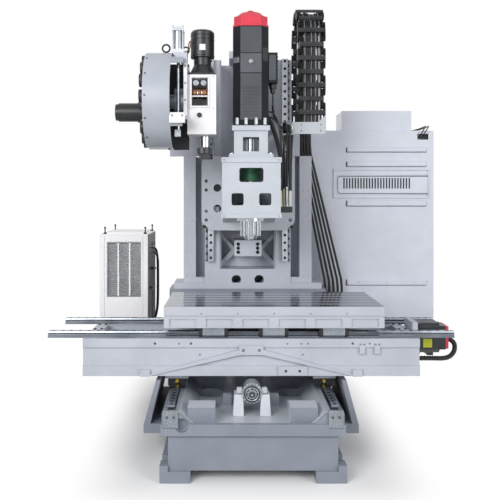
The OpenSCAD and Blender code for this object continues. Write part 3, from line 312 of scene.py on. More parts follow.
FINISHES = {
    casting: "column saddle z_screw_bearings x_screw_bearings chain_anchor changer_bracket",
    base_enamel: "base chiller_shelf",
    head_enamel: "head motor_tower chain_bracket",
    pale_enamel: "cam_box",
    sheet_coat: "cabinet cabinet_top_box cabinet_door_left cabinet_door_right",
    cover_coat: "magazine_cover",
    white_coat: "chiller",
    grille_zinc: "chiller_grille",
    rail_y: "y_rails y_screw",
    shaded_rail_x: "x_rails x_screw",
    rail_z: "z_rails z_screw",
    turned_steel: "spindle_shaft spindle_cartridge arm_sleeve pot_rod",
    block_steel: "y_blocks x_blocks z_blocks y_nut x_nut z_nut y_rail_stops",
    machined_iron: "magazine_disc magazine_axle y_screw_bearings",
    anodised: "air_cylinder",
    cam_bronze: "cam_drum",
    motor_enamel: "spindle_motor",
    servo_enamel: "x_motor y_motor z_motor cam_box_motor magazine_motor tool_arm",
    red_cap: "motor_cap x_motor_cap",
    coupling_green: "drive_coupling",
    chain_nylon: "drag_chain",
    black_nylon: "tool_pots change_pot cable_manifold door_handle",
    cable_rubber: "fixed_cables head_cables x_motor_hose",
    table_iron: "table",
}
for finish, names in FINISHES.items():
    for name in names.split():
        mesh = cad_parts[name].data
        mesh.materials.clear()
        mesh.materials.append(finish)


# Shared ways of making pieces

def placed(name, data):
    obj = bpy.data.objects.new(name, data)
    scene.collection.objects.link(obj)
    return obj


def mesh_of(name, bm):
    mesh = bpy.data.meshes.new(name)
    bm.to_mesh(mesh)
    bm.free()
    return mesh


def solid(name, body, finish, shapes, bevel=0.0):
    """A mesh piece that rides on a body; each shape is a function that adds to the mesh, and its values."""
    bm = bmesh.new()
    for shape, *values in shapes:
        shape(bm, *values)
    bmesh.ops.recalc_face_normals(bm, faces=bm.faces)
    obj = placed(name, mesh_of(name, bm))
    obj.data.materials.append(finish)
    if bevel:
        mod = obj.modifiers.new("edge", "BEVEL")
        mod.width = bevel
        mod.segments = 2
        mod.limit_method = "ANGLE"
    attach(obj, body)
    return obj


def boxes(name, body, finish, corners, bevel=0.0):
    """A piece of boxes, each given by its low and high corner."""
    return solid(name, body, finish, [(add_box, *pair) for pair in corners], bevel)


def pegs(name, body, finish, feet, axis, parts, bevel=0.0):
    """Round pegs along an axis; each part has its start and end from the foot, one or two radii and its sides."""
    solid(name, body, finish, [(add_rod, *(Vector(foot) + reach * Vector(axis) for reach in (start, end)), *rest)
                               for foot in feet for start, end, *rest in parts], bevel)


def at(x, y, z, turn=Matrix.Identity(4)):
    return Matrix.Translation((x, y, z)) @ turn


def add_box(bm, low, high, turn=Matrix.Identity(4)):
    low, high = Vector(low), Vector(high)
    place = turn @ Matrix.Translation((low + high) / 2) @ Matrix.Diagonal((*(high - low), 1))
    return bmesh.ops.create_cube(bm, size=1, matrix=place)["verts"]


def turn_to(direction):
    return Vector((0, 0, 1)).rotation_difference(Vector(direction)).to_matrix().to_4x4()


def add_rod(bm, start, end, r0, r1=None, sides=20):
    start, end = Vector(start), Vector(end)
    axis = end - start
    place = Matrix.Translation((start + end) / 2) @ turn_to(axis)
    return bmesh.ops.create_cone(bm, cap_ends=True, segments=sides, radius1=r0, radius2=r0 if r1 is None else r1,
                                 depth=axis.length, matrix=place)["verts"]


def smooth_path(points, per_span=6):
    """Points on a smooth curve through a given route."""
    route = [Vector(p) for p in points]
    route = [2 * route[0] - route[1]] + route + [2 * route[-1] - route[-2]]
    path = []
    for a, b, c, d in zip(route, route[1:], route[2:], route[3:]):
        for t in (k / per_span for k in range(per_span)):
            path.append(b + 0.5 * t * (c - a + t * (2 * a - 5 * b + 4 * c - d + t * (3 * (b - c) + d - a))))
    return path + [route[-2]]


def loft(bm, rings, closed=False):
    """Joins rings of vertices in turn: round to the first again, or with a face over each end."""
    faces = [] if closed else [bm.faces.new(rings[0][::-1]), bm.faces.new(rings[-1])]
    for one, two in zip(rings, rings[1:] + rings[:closed]):
        for k in range(len(one)):
            faces.append(bm.faces.new((one[k - 1], one[k], two[k], two[k - 1])))
    return faces


def add_tube(bm, path, radii, sides=10, smooth=False):
    """A closed tube along a path; its cross-section is carried on from point to point without twisting."""
    across = None
    rings = []
    for i, point in enumerate(path):
        radius = radii[i] if isinstance(radii, list) else radii
        ahead = (path[min(i + 1, len(path) - 1)] - path[max(i - 1, 0)]).normalized()
        across = ahead.orthogonal() if across is None else across
        across = (across - ahead * across.dot(ahead)).normalized()
        beside = ahead.cross(across)
        turns = steps(0, 2 * math.pi / sides, sides)
        rings.append([bm.verts.new(point + radius * (math.cos(a) * across + math.sin(a) * beside)) for a in turns])
    faces = loft(bm, rings)
    for face in faces[2:]:
        face.smooth = smooth
    return faces


def add_prism(bm, section, place, length):
    """Extrudes a closed (across, up) section along the local Y axis, about its middle."""
    loft(bm, [[bm.verts.new(place @ Vector((x, y, z))) for x, z in section] for y in both(length / 2)])


def revolve(bm, middle, axis, profile, turns):
    """Turns a closed (radius, height) profile round an axis."""
    place = Matrix.Translation(middle) @ turn_to(axis)
    loft(bm, [[bm.verts.new(place @ Vector((r * math.cos(a), r * math.sin(a), z))) for r, z in profile]
              for a in steps(0, 2 * math.pi / turns, turns)], True)


def add_ring(bm, middle, radius, tube, axis, sides=10, turns=24):
    """A ring of round bar."""
    bar = [(radius + tube * math.cos(b), tube * math.sin(b)) for b in steps(0, 2 * math.pi / sides, sides)]
    revolve(bm, middle, axis, bar, turns)


def cable(name, body, points, diameter, finish=cable_rubber):
    """A cable that leaves the object and goes back into it on the same body."""
    path = smooth_path(points)
    obj = solid(name, body, finish, [(add_tube, path, diameter / 2, 10, True)])


def fastener_tree():
    """Instances a socket-head screw on every point, facing the point's own direction."""
    tree = bpy.data.node_groups.new("socket_screws", "GeometryNodeTree")
    for label, kind in (("Geometry", "Geometry"), ("Head Radius", "Float"), ("Head Height", "Float"),
                        ("Socket Size", "Float"), ("Socket Depth", "Float"), ("Finish", "Material")):
        tree.interface.new_socket(label, in_out="INPUT", socket_type="NodeSocket" + kind)
    tree.interface.new_socket("Geometry", in_out="OUTPUT", socket_type="NodeSocketGeometry")
    given = add(tree, "NodeGroupInput")
    head = add(tree, "GeometryNodeMeshCylinder", Vertices=12, Radius=given["Head Radius"], Depth=given["Head Height"])
    normal = add(tree, "GeometryNodeInputNormal")["Normal"]
    top = calc(tree, "GREATER_THAN", add(tree, "ShaderNodeSeparateXYZ", Vector=normal)["Z"], 0.9)
    rim = add(tree, "GeometryNodeExtrudeMesh", Mesh=head["Mesh"], Selection=top, Offset_Scale=0.0)
    inset = add(tree, "GeometryNodeScaleElements", Geometry=rim["Mesh"], Selection=rim["Top"],
                Scale=given["Socket Size"])
    socket = add(tree, "GeometryNodeExtrudeMesh", Mesh=inset["Geometry"], Selection=rim["Top"],
                 Offset_Scale=calc(tree, "MULTIPLY", given["Socket Depth"], -1.0))
    facing = add(tree, "GeometryNodeInputNamedAttribute", {"data_type": "FLOAT_VECTOR"}, Name="facing")
    turned = add(tree, "FunctionNodeAlignRotationToVector", {"axis": "Z"}, Vector=facing["Attribute"])
    heads = add(tree, "GeometryNodeInstanceOnPoints", Points=given["Geometry"], Instance=socket["Mesh"],
                Rotation=turned["Rotation"])
    real = add(tree, "GeometryNodeRealizeInstances", Geometry=heads["Instances"])
    dressed = add(tree, "GeometryNodeSetMaterial", Geometry=real["Geometry"], Material=given["Finish"])
    add(tree, "NodeGroupOutput", Geometry=dressed["Geometry"])
    return tree


SCREW_TREE = fastener_tree()
SCREW_INPUTS = [item.identifier for item in SCREW_TREE.interface.items_tree
                if item.in_out == "INPUT" and item.name != "Geometry"]


def screws(name, body, places, radius, height, finish=screw_zinc, socket=0.55, depth=0.004):
    """Screw heads at (point, outward direction) places, all on one body, settled into a plain mesh."""
    mesh = bpy.data.meshes.new(name)
    mesh.from_pydata([p for p, _ in places], [], [])
    attribute = mesh.attributes.new("facing", "FLOAT_VECTOR", "POINT")
    for item, (_, out) in zip(attribute.data, places):
        item.vector = out
    obj = placed(name, mesh)
    mod = obj.modifiers.new("screws", "NODES")
    mod.node_group = SCREW_TREE
    for key, value in zip(SCREW_INPUTS, (radius, height, socket, depth, finish)):
        mod[key] = value
    bpy.context.view_layer.update()
    mesh = bpy.data.meshes.new_from_object(obj.evaluated_get(bpy.context.evaluated_depsgraph_get()))
    obj.modifiers.clear()
    obj.data = mesh
    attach(obj, body)


def grid(xs, ys, zs, out):
    """Screw places at every crossing of the given X, Y and Z, facing out."""
    rows = [v if isinstance(v, (list, tuple)) else [v] for v in (xs, ys, zs)]
    return [(point, out) for point in itertools.product(*rows)]


# Bolt plugs in the guide rails, 52.5 mm apart

RAIL_PITCH = 0.0525
Z_BOLT_ZS = steps(Z_RAIL_Z + 0.026, RAIL_PITCH, 27)
PLUG = (0.010, 0.0010, screw_black, 0.86, 0.0004)
screws("z_rail_plugs", "base", grid(both(Z_RAIL_X), WAY_Y - RAIL_H, Z_BOLT_ZS, FRONT), *PLUG)
screws("y_rail_plugs", "base", grid(both(Y_RAIL_X), steps(-0.934, RAIL_PITCH, 20), WAY_Z + RAIL_H, UP), *PLUG)
screws("x_rail_plugs", "saddle", grid(steps(-1.160, RAIL_PITCH, 45), X_RAIL_YS, X_WAY_Z + RAIL_H, UP), *PLUG)


# Black seal caps on both ends of every guide block

BLOCK_L, CAP_L = 0.170, 0.0225
# Half of a cap's section: top corner, side, slanting foot and the slot for the rail
CAP_HALF = [(0.0546, 0.0656), (0.0546, 0.022), (0.0346, 0.008), (0.0232, 0.008), (0.0232, 0.0386)]
CAP_SECTION = CAP_HALF + [(-x, z) for x, z in CAP_HALF[::-1]]
CAP_REACH = (BLOCK_L - CAP_L + 0.001) / 2


def seal_caps(name, body, places):
    solid(name, body, seal_rubber, [(add_prism, CAP_SECTION, place @ at(0, y, 0), CAP_L)
                                    for place in places for y in both(CAP_REACH)], 0.0012)


QUARTER_Z = Matrix.Rotation(math.pi / 2, 4, "Z")
QUARTER_X = Matrix.Rotation(math.pi / 2, 4, "X")
X_BLOCK_XS = (-0.220, 0.130, 0.480)
Y_BLOCK_YS = (-0.435, -0.190)
Z_BLOCK_ZS = (1.394, 1.700)
seal_caps("x_block_seals", "table", [at(x, y, X_WAY_Z, QUARTER_Z) for x in X_BLOCK_XS for y in X_RAIL_YS])
seal_caps("y_block_seals", "saddle", [at(s * Y_RAIL_X, y, WAY_Z) for s in (-1, 1) for y in Y_BLOCK_YS])
seal_caps("z_block_seals", "head", [at(s * Z_RAIL_X, WAY_Y, z, QUARTER_X) for s in (-1, 1) for z in Z_BLOCK_ZS])


# Grease nipples with yellow caps on the front seals of the Y blocks
NIPPLE_Z = 0.418
pegs("y_block_grease_caps", "saddle", grease_yellow, [(x, -0.521, NIPPLE_Z) for x in both(Y_RAIL_X)], FRONT,
     ((0, 0.015, 0.011, 0.009), (0.014, 0.024, 0.006, 0.004)))


# Screws of the castings: places, then head radius and height, finish, socket size and depth

SMALL_BLACK = (0.006, 0.003, screw_black)
for name, body, places, *head in (
        # Near-black slide bolt holes: painted shade
        ("slide_screws", "head", grid(both(0.286), SLIDE_FRONT, (1.367, 1.428, 1.571, 1.632), FRONT),
         0.011, 0.002, shade_black, 0.6, 0.001),
        ("head_flange_screws", "head", grid(both(0.158), -0.695, (1.415, 1.739), FRONT), 0.006, 0.004),
        ("column_screws", "base", grid(both(0.389) + both(0.424), 0.150, (0.972, 1.144, 1.354, 1.565), FRONT),
         0.006, 0.003),
        ("lower_bearing_screws", "base", grid(both(0.067), 0.076, (1.142, 1.170, 1.198), FRONT),
         0.012, 0.008, screw_black),
        ("rail_stop_screws", "base",
         grid(both(Y_RAIL_X - 0.018) + both(Y_RAIL_X + 0.018), BASE_FRONT + 0.001, 0.350, FRONT),
         0.007, 0.003, screw_black),
        ("chain_bracket_screws", "head", grid((0.336, 0.461), -0.240, (1.951, 1.990), FRONT),
         0.005, 0.003, screw_black),
        ("saddle_plate_screws", "saddle", grid(both(0.046), -0.682, 0.636, FRONT), 0.008, 0.003, screw_black),
        ("tower_screws", "head", grid(both(0.115), both(0.115, SPINDLE_Y), HEAD_TOP + 0.024, UP), 0.010, 0.010),
        ("x_bearing_screws", "saddle", grid(both(0.945) + both(0.905), both(0.075, TABLE_Y), 0.720, UP),
         0.009, 0.009, screw_black),
        ("table_panel_screws", "table", grid(steps(TABLE_X - 0.42, 0.21, 5), -0.709, 0.853, FRONT),
         0.004, 0.002, screw_black),
        ("cam_box_screws", "base", grid((-0.358, -0.222), -0.620, (2.046, 2.234), FRONT), 0.005, 0.003)):
    screws(name, body, places, *head)


# Spindle motor: foot nuts, panels and plates, terminal box ribs, a lifting stud, a gland, vents and the cap's rim

def facet_plate(bm, side, z0, z1):
    """A thin plate on one of the motor's slanting front facets."""
    section = [(side * x, y) for x, y in ((0.068, 0.102), (0.102, 0.068), (0.1035, 0.0695), (0.0695, 0.1035))]
    add_prism(bm, section, at(0, SPINDLE_Y, (z0 + z1) / 2, QUARTER_X), z1 - z0)


def dress_spindle_motor():
    foot, front = HEAD_TOP + 0.192, SPINDLE_Y - 0.106
    pegs("motor_foot_nuts", "head", screw_zinc, [(x, front - 0.004, foot) for x in both(0.082) + both(0.030)], UP,
         [(0.004, 0.044, 0.011, None, 6)], 0.001)
    # Paler paint on the panels and terminal box ribs: painted light
    boxes("motor_front_panels", "head", lit_motor_panel,
          [((-0.062, front - 0.002, z0), (0.062, front + 0.001, z1))
           for z0, z1 in ((foot + 0.034, 2.254), (2.376, 2.530))]
          + [((-0.048, front - 0.004, z), (0.048, front - 0.001, z + 0.007)) for z in steps(foot + 0.060, 0.020, 9)],
          0.0008)
    boxes("motor_blank_plate", "head", motor_plate,
          [((-0.062, front - 0.003, 2.258), (0.062, front + 0.001, 2.372))], 0.0008)
    boxes("terminal_box_ribs", "head", lit_motor_panel,
          [((0.1595, SPINDLE_Y - 0.048, z), (0.163, SPINDLE_Y + 0.048, z + 0.010)) for z in steps(2.226, 0.026, 6)]
          + [((0.110, SPINDLE_Y - 0.063, 2.220), (0.150, SPINDLE_Y - 0.059, 2.372))], 0.001)
    pegs("motor_lift_stud", "head", screw_zinc, [(0, front, 2.322)], FRONT,
         ((0.001, 0.012, 0.014, None, 8), (0.012, 0.026, 0.008)), 0.001)
    pegs("motor_cable_gland", "head", black_nylon, [(0.135, SPINDLE_Y, 2.206)], UP,
         ((0, -0.028, 0.022), (-0.028, -0.056, 0.017, 0.014)), 0.001)
    # Near-black vents on the facets: painted shade in their openings
    solid("motor_vents", "head", shade_black, [(facet_plate, 1, 2.328, 2.408), (facet_plate, -1, 2.352, 2.360)])
    solid("motor_side_plate", "head", screw_zinc, [(facet_plate, -1, 2.318, 2.350)])
    cap_foot = min(v.co.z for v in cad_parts["motor_cap"].data.vertices)
    half, cut = 0.106, 0.043
    rim = [(cut - half, -half), (half - cut, -half), (half, cut - half), (half, half - cut),
           (half - cut, half), (cut - half, half), (-half, half - cut), (-half, cut - half)]
    rim_h = 0.013
    solid("motor_cap_rim", "head", red_cap,
          [(add_prism, rim, at(0, SPINDLE_Y, cap_foot + rim_h / 2, QUARTER_X), rim_h)], 0.002)


dress_spindle_motor()


# Tool changer: eyebolts, window frame, plug, cam followers and rings

def eyebolt(bm, foot, size):
    x, y, z = foot
    add_rod(bm, (x, y, z - 0.001), (x, y, z + 0.3 * size), 0.5 * size, 0.4 * size)
    add_ring(bm, (x, y, z + 1.15 * size), 0.75 * size, 0.18 * size, FRONT)


solid("changer_eyebolts", "base", screw_black,
      [(eyebolt, (-0.510, SPINDLE_Y, 2.388), 0.030), (eyebolt, (-0.388, -0.560, 2.369), 0.026)])


def window_frame():
    """A raised frame around the cam box window, the oil plug under it, and what shows behind it."""
    x0, x1, z0, z1, front = -0.349, -0.255, 2.061, 2.226, -0.620
    edge, plug_x, plug_z = 0.012, -0.304, 2.006
    bars = ((x0 - edge, x1 + edge, z1, z1 + edge), (x0 - edge, x1 + edge, z0 - edge, z0),
            (x0 - edge, x0, z0, z1), (x1, x1 + edge, z0, z1))
    boxes("cam_window_frame", "base", pale_enamel,
          [((xa, front - 0.006, za), (xb, front + 0.001, zb)) for xa, xb, za, zb in bars]
          + [((x0, front - 0.004, z0 + 0.052), (x1, front + 0.002, z0 + 0.060))], 0.0015)
    solid("cam_box_plug", "base", black_nylon,
          [(add_rod, (plug_x, front + 0.001, plug_z), (plug_x, front - 0.010, plug_z), 0.014),
           (add_ring, (plug_x, front - 0.010, plug_z), 0.008, 0.0025, FRONT, 6, 16)])
    pegs("cam_followers", "base", turned_steel, [(x, -0.586, 2.199) for x in (-0.326, -0.280)], FRONT,
         ((0, 0.018, 0.017), (0.018, 0.022, 0.008)), 0.001)
    solid("cam_groove_rings", "cam_drum", turned_steel,
          [(add_ring, (x, -0.563, 2.143), 0.0290, 0.0050, RIGHT, 8, 32) for x in (-0.317, -0.293)])


window_frame()


# Column and head: a groove beside each Z rail, near-black as painted shade, with a clamping wedge at every bolt,
# small bosses and plates

GROOVES = [sorted((s * (Z_RAIL_X + 0.0235), s * (Z_RAIL_X + 0.0360))) for s in (-1, 1)]
# Near-black groove beside each Z rail: painted shade
boxes("z_way_grooves", "base", shade_black,
      [((x0, WAY_Y - 0.0015, Z_RAIL_Z), (x1, WAY_Y + 0.001, COLUMN_TOP)) for x0, x1 in GROOVES])
boxes("z_rail_wedges", "base", block_steel,
      [((x0 + 0.0005, WAY_Y - 0.005, z - 0.014), (x1 - 0.0005, WAY_Y, z + 0.014))
       for x0, x1 in GROOVES for z in Z_BOLT_ZS], 0.001)
screws("z_wedge_screws", "base", grid(both(Z_RAIL_X + 0.030), WAY_Y - 0.005, Z_BOLT_ZS, FRONT), 0.0045, 0.002,
       screw_black)
solid("column_oval_boss", "base", casting,
      [(add_rod, (0.344, 0.302, z), (0.344, 0.292, z), 0.013, 0.011) for z in (1.154, 1.182)]
      + [(add_box, (0.332, 0.293, 1.154), (0.356, 0.302, 1.182))], 0.001)
boxes("neck_gusset", "base", casting, [((0.307, 0.151, 1.810), (0.366, 0.172, 1.990))], 0.002)
boxes("gland_plate", "head", head_enamel, [((0.214, -0.240, 1.932), (0.277, -0.228, 2.006))], 0.002)
pegs("gland", "head", black_nylon, [(0.249, -0.239, 1.971)], FRONT, [(0, 0.010, 0.025, 0.023)], 0.002)


# Magazine: near-black painted shade behind it, white edge and foot block of the changer plate, rim screws

def dress_magazine():
    plate_x0, plate_x1, plate_front = -0.395, -0.375, -0.648
    axis_z, radius = 2.099, 0.290
    shade_x, shade_low, shade_high = plate_x0 - 0.110, axis_z - 0.285, axis_z + 0.244
    # Near-black painted shade behind the magazine
    boxes("magazine_back_shade", "base", shade_black,
          [((shade_x, -0.424, shade_low), (plate_x1, -0.420, shade_high)),
           ((shade_x, -0.427, shade_low), (shade_x + 0.006, -0.420, shade_high))], 0.001)
    boxes("changer_white_edge", "base", pale_enamel,
          [((plate_x0 - 0.001, plate_front - 0.003, 1.980), (plate_x1 + 0.001, plate_front + 0.001, 2.308)),
           ((plate_x0 - 0.074, -0.776, 1.944), (plate_x1 - 0.004, -0.750, 2.004)),
           ((plate_x0 - 0.006, -0.752, 1.982), (plate_x1 - 0.006, plate_front, 2.004))], 0.002)
    screws("changer_edge_screws", "base",
           grid(-0.385, plate_front - 0.003, (1.992, 2.090, 2.190, 2.290), FRONT), *SMALL_BLACK)
    screws("foot_block_screws", "base", grid((-0.452, -0.394), -0.776, 1.986, FRONT), *SMALL_BLACK)
    outs = [(0, -math.cos(math.radians(angle)), math.sin(math.radians(angle))) for angle in steps(-52, 26, 5)]
    screws("cover_rim_screws", "base",
           [((-0.606, SPINDLE_Y + radius * y, axis_z + radius * z), (x, y, z)) for x, y, z in outs], *SMALL_BLACK)
    boxes("cam_motor_blank_plate", "base", blank_white,
          [((-0.306, SPINDLE_Y - 0.0722, 2.398), (-0.270, SPINDLE_Y - 0.068, 2.434))], 0.0008)
    solid("cam_motor_beads", "base", servo_enamel,
          [(add_ring, (-0.290, SPINDLE_Y, z), 0.0708, 0.0022, UP, 8, 48) for z in (2.372, 2.470, 2.494)])


dress_magazine()


# Chiller: lifting posts, white grille uprights, an open side darkened as painted shade, with two valves

def dress_chiller():
    x0, x1, y0, y1, z0, z1 = -1.087, -0.732, 0.400, 0.910, 0.390, 1.249
    feet = itertools.product((x0 + 0.034, x1 - 0.022), (y0 + 0.030, y1 - 0.030), (z1,))
    pegs("chiller_lift_posts", "base", screw_black, feet, UP,
         ((-0.001, 0.010, 0.014, 0.009), (0.010, 0.044, 0.0045), (0.040, 0.052, 0.008, 0.006)), 0.0008)
    boxes("grille_uprights", "base", white_coat,
          [((x - 0.006, y0 + 0.0015, 0.791), (x + 0.006, y0 + 0.006, 1.182)) for x in (-0.950, -0.866)], 0.001)
    open_y0, open_y1, low, high = 0.460, 0.850, z0 + 0.006, z1 - 0.006
    strips = ((y0 + 0.012, open_y0, low, high), (open_y1, y1 - 0.004, low, high),
              (open_y0, open_y1, 1.170, high), (open_y0, open_y1, low, 0.470))
    # The open side and the frame around it near-black: painted shade
    boxes("chiller_dark_side", "base", shade_black,
          [((-0.7535, open_y0 + 0.001, 0.471), (-0.7505, open_y1 - 0.001, 1.168))]
          + [((x1 - 0.001, ya, za), (x1 + 0.0015, yb, zb)) for ya, yb, za, zb in strips], 0.0006)
    valves = []
    for y, z in ((0.730, 0.962), (0.690, 0.818)):
        valves += [(add_rod, (-0.752, y, z), (-0.722, y, z), 0.013, None, 6),
                   (add_rod, (-0.722, y, z), (-0.706, y, z), 0.009),
                   (add_box, (-0.712, y - 0.030, z - 0.004), (-0.706, y + 0.008, z + 0.004))]
    solid("chiller_valves", "base", turned_steel, valves, 0.0008)


dress_chiller()


# Cabinet: a pressed bead and near-black painted shade behind the louvres, lips of the ribs
# with painted shade in the gaps beside them, screws

def dress_cabinet():
    front, x0, x1, z0, z1, r = 0.3995, 0.664, 1.337, 1.541, 1.683, 0.020
    bend = steps(0, math.pi / 12, 7)
    corners = [(x0 + r - r * math.sin(a), z1 - r + r * math.cos(a)) for a in bend]
    corners += [(x0 + r - r * math.cos(a), z0 + r - r * math.sin(a)) for a in bend]
    path = [Vector((x, front, z)) for x, z in [(x1, z1)] + corners + [(x1, z0)]]
    solid("louvre_bead", "base", sheet_coat, [(add_tube, path, 0.0050, 12, True)])
    rib_x0, rib_x1, lip_front, gap = 0.741, 1.325, 0.384, 0.008
    lips, gaps = [], []
    for low, high in ((0.875, 0.912), (1.459, 1.496), (1.751, 1.784), (1.858, 1.888)):
        lips.append(((rib_x0, lip_front, low), (rib_x1, 0.3925, high)))
        gaps.append((add_box, (rib_x0, 0.3985, low - 0.007), (rib_x1, 0.4005, low)))
        gaps.append((add_box, (rib_x0 - 0.009, 0.3985, low - 0.007), (rib_x0, 0.4005, high)))
    inner = [Vector((x + (gap if x < x1 else 0), front, z + (gap if z < (z0 + z1) / 2 else -gap))) for x, _, z in path]
    boxes("cabinet_rib_lips", "base", sheet_coat, lips, 0.003)
    # Strips under and beside each rib and a line inside the bead: painted shade
    solid("cabinet_gaps", "base", gap_shade, gaps + [(add_tube, inner, 0.0030, 8)])
    # Near-black painted shade behind the louvre slots
    boxes("louvre_shade", "base", shade_black, [((0.705, 0.4045, 1.580), (1.212, 0.4075, 1.674))])
    screws("cabinet_rib_screws", "base", grid((0.822, 1.033, 1.244), lip_front, (1.478, 0.893), FRONT), 0.005, 0.003)


dress_cabinet()


# Base: bearing nut with its teeth and lugs, the screw's end, pale pillar faces,
# slots behind the rail stops, near-black as painted shade

def dress_base():
    z, front, teeth = Y_SCREW_Z, BASE_FRONT + 0.190, 18
    end = front - 0.010
    nut = [(add_box, (0.046, front + 0.014, -0.0045), (0.058, front + 0.0205, 0.0045),
            at(0, 0, z, Matrix.Rotation(a, 4, "Y"))) for a in steps(0, 2 * math.pi / teeth, teeth)]
    nut += [(add_ring, (0, front + 0.001, z), radius, tube, FRONT, 8, 36)
            for radius, tube in ((0.036, 0.0035), (0.024, 0.0030))]
    solid("y_bearing_nut", "base", screw_zinc, nut, 0.0006)
    solid("y_bearing_cover", "base", screw_black,
          [(revolve, (0, front, z), FRONT,
            ((0.0215, 0.0008), (0.0445, 0.0008), (0.0445, -0.001), (0.0215, -0.001)), 40)])
    pegs("y_screw_end_face", "y_screw", screw_black, [(0, end, z)], FRONT, [(-0.0005, 0.0008, 0.0165, None, 32)])
    pegs("y_screw_end_hex", "y_screw", screw_zinc, [(0, end, z)], FRONT, [(0.0004, 0.004, 0.0085, None, 6)])
    screw_circle = 0.030
    screws("y_bearing_screws", "base",
           [((screw_circle * math.cos(a), front, z + screw_circle * math.sin(a)), FRONT)
            for a in steps(math.pi / 8, math.pi / 4, 8)], 0.0042, 0.004)
    boxes("y_bearing_lugs", "base", casting,
          [((x - 0.015, front + 0.022, z - 0.002), (x + 0.015, front + 0.050, z + 0.030)) for x in both(0.071)], 0.003)
    pillar = ((0.046, 0.291), (0.107, 0.291), (0.0995, 0.4115), (0.0505, 0.4115))
    solid("pillar_faces", "base", pale_casting,
          [(add_prism, [(side * x, up) for x, up in pillar], at(0, BASE_FRONT + 0.2094, 0), 0.0018)
           for side in (-1, 1)])
    # Near-black rail end slots: painted shade
    boxes("rail_end_slots", "base", shade_black,
          [((x - 0.036, BASE_FRONT + 0.018, WAY_Z - 0.001), (x + 0.036, BASE_FRONT + 0.036, WAY_Z + 0.0012))
           for x in both(Y_RAIL_X)])


dress_base()


# Saddle: two small plates, screws along the front and a blank yellow plate on the X motor

def dress_saddle():
    plates = []
    for x in (0.624, 0.711):
        plates += [((x, SADDLE_FRONT - 0.004, 0.654), (x + 0.041, SADDLE_FRONT + 0.001, 0.677)),
                   ((x + 0.004, SADDLE_FRONT - 0.007, 0.612), (x + 0.037, SADDLE_FRONT + 0.011, 0.656))]
    boxes("saddle_small_plates", "saddle", casting, plates, 0.002)
    screws("saddle_front_screws", "saddle",
           grid((0.634, 0.655, 0.721, 0.742), SADDLE_FRONT - 0.004, 0.668, FRONT)
           + grid((0.210, 0.290, 0.330, 0.688, -0.420), SADDLE_FRONT, 0.672, FRONT)
           + grid(both(0.300), SADDLE_FRONT + 0.010, 0.606, FRONT), 0.005, 0.002, screw_black)
    boxes("x_motor_blank_plate", "saddle", blank_yellow, [((1.047, -0.5005, 0.612), (1.101, -0.498, 0.664))], 0.0008)


dress_saddle()


# Cable chain: the frame's links, their crossbars and the cables inside, split into front, loop and rear runs

CHAIN_TOP = CHAIN_Z0 + CHAIN_RISE
CHAIN_LOOP_END = CHAIN_RISE + math.pi * CHAIN_LOOP_R
LINK_PITCH = 0.088
LINK_N = 19
LINK_H = 0.058


def chain_frame(s):
    """Place on the chain's middle line, s metres from the head end: Z along the chain, Y across its thickness."""
    if s < CHAIN_RISE:
        y, z, a = CHAIN_FRONT_Y, CHAIN_Z0 + s, 0.0
    elif s < CHAIN_LOOP_END:
        a = (s - CHAIN_RISE) / CHAIN_LOOP_R
        y, z = CHAIN_FRONT_Y + CHAIN_LOOP_R * (1 - math.cos(a)), CHAIN_TOP + CHAIN_LOOP_R * math.sin(a)
    else:
        y, z, a = CHAIN_FRONT_Y + 2 * CHAIN_LOOP_R, CHAIN_TOP + CHAIN_LOOP_END - s, math.pi
    return Matrix.Translation((0, y, z)) @ Matrix.Rotation(-a, 4, "X")


def chain_run_of(s):
    return "front" if s < CHAIN_RISE else "loop" if s < CHAIN_LOOP_END else "rear"


def split_links(mesh):
    """The separate links of the frame's chain, as lists of vertices of one bmesh."""
    whole = bmesh.new()
    whole.from_mesh(mesh)
    bmesh.ops.remove_doubles(whole, verts=whole.verts, dist=1e-5)
    seen, links = set(), []
    for vert in whole.verts:
        if vert in seen:
            continue
        island = [vert]
        seen.add(vert)
        for v in island:
            for other in (edge.other_vert(v) for edge in v.link_edges):
                if other not in seen:
                    seen.add(other)
                    island.append(other)
        links.append(island)
    return whole, links


def copy_links(runs):
    whole, links = split_links(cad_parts["drag_chain"].data)
    for island in links:
        middle = sum((v.co for v in island), Vector()) / len(island)
        side = "front" if middle.y < CHAIN_FRONT_Y + CHAIN_LOOP_R else "rear"
        run = "loop" if middle.z > CHAIN_TOP else side
        copies = {v: runs[run].verts.new(v.co) for v in island}
        faces = {f.index: f for v in island for f in v.link_faces}
        for index in sorted(faces):
            runs[run].faces.new([copies[v] for v in faces[index].verts])
    whole.free()


def add_crossbars(runs):
    """A thicker grey bar with a ridge over every link, inside and outside."""
    bar, ridge = (0.014, 0.010), (0.004, 0.013)
    for i in range(LINK_N):
        s = (i + 0.5) * LINK_PITCH
        inset = 0.0135 if i % 2 else 0.001
        for side, (half, depth) in itertools.product((-1, 1), (bar, ridge)):
            y = side * (LINK_H / 2 - 0.0045 + (depth - bar[1]) / 2)
            verts = add_box(runs[chain_run_of(s)], (CHAIN_X[0] + inset, y - depth / 2, -half),
                            (CHAIN_X[1] - inset, y + depth / 2, half), chain_frame(s))
            for face in {f for v in verts for f in v.link_faces}:
                face.material_index = 1


# Radius and material of each cable in the chain, from left to right; material 3, grey, is painted highlight
CHAIN_CABLES = ((0.006, 2), (0.005, 3), (0.007, 2), (0.005, 2), (0.004, 3), (0.007, 2), (0.005, 3), (0.006, 2),
                (0.005, 3))
CABLE_STOPS = 18


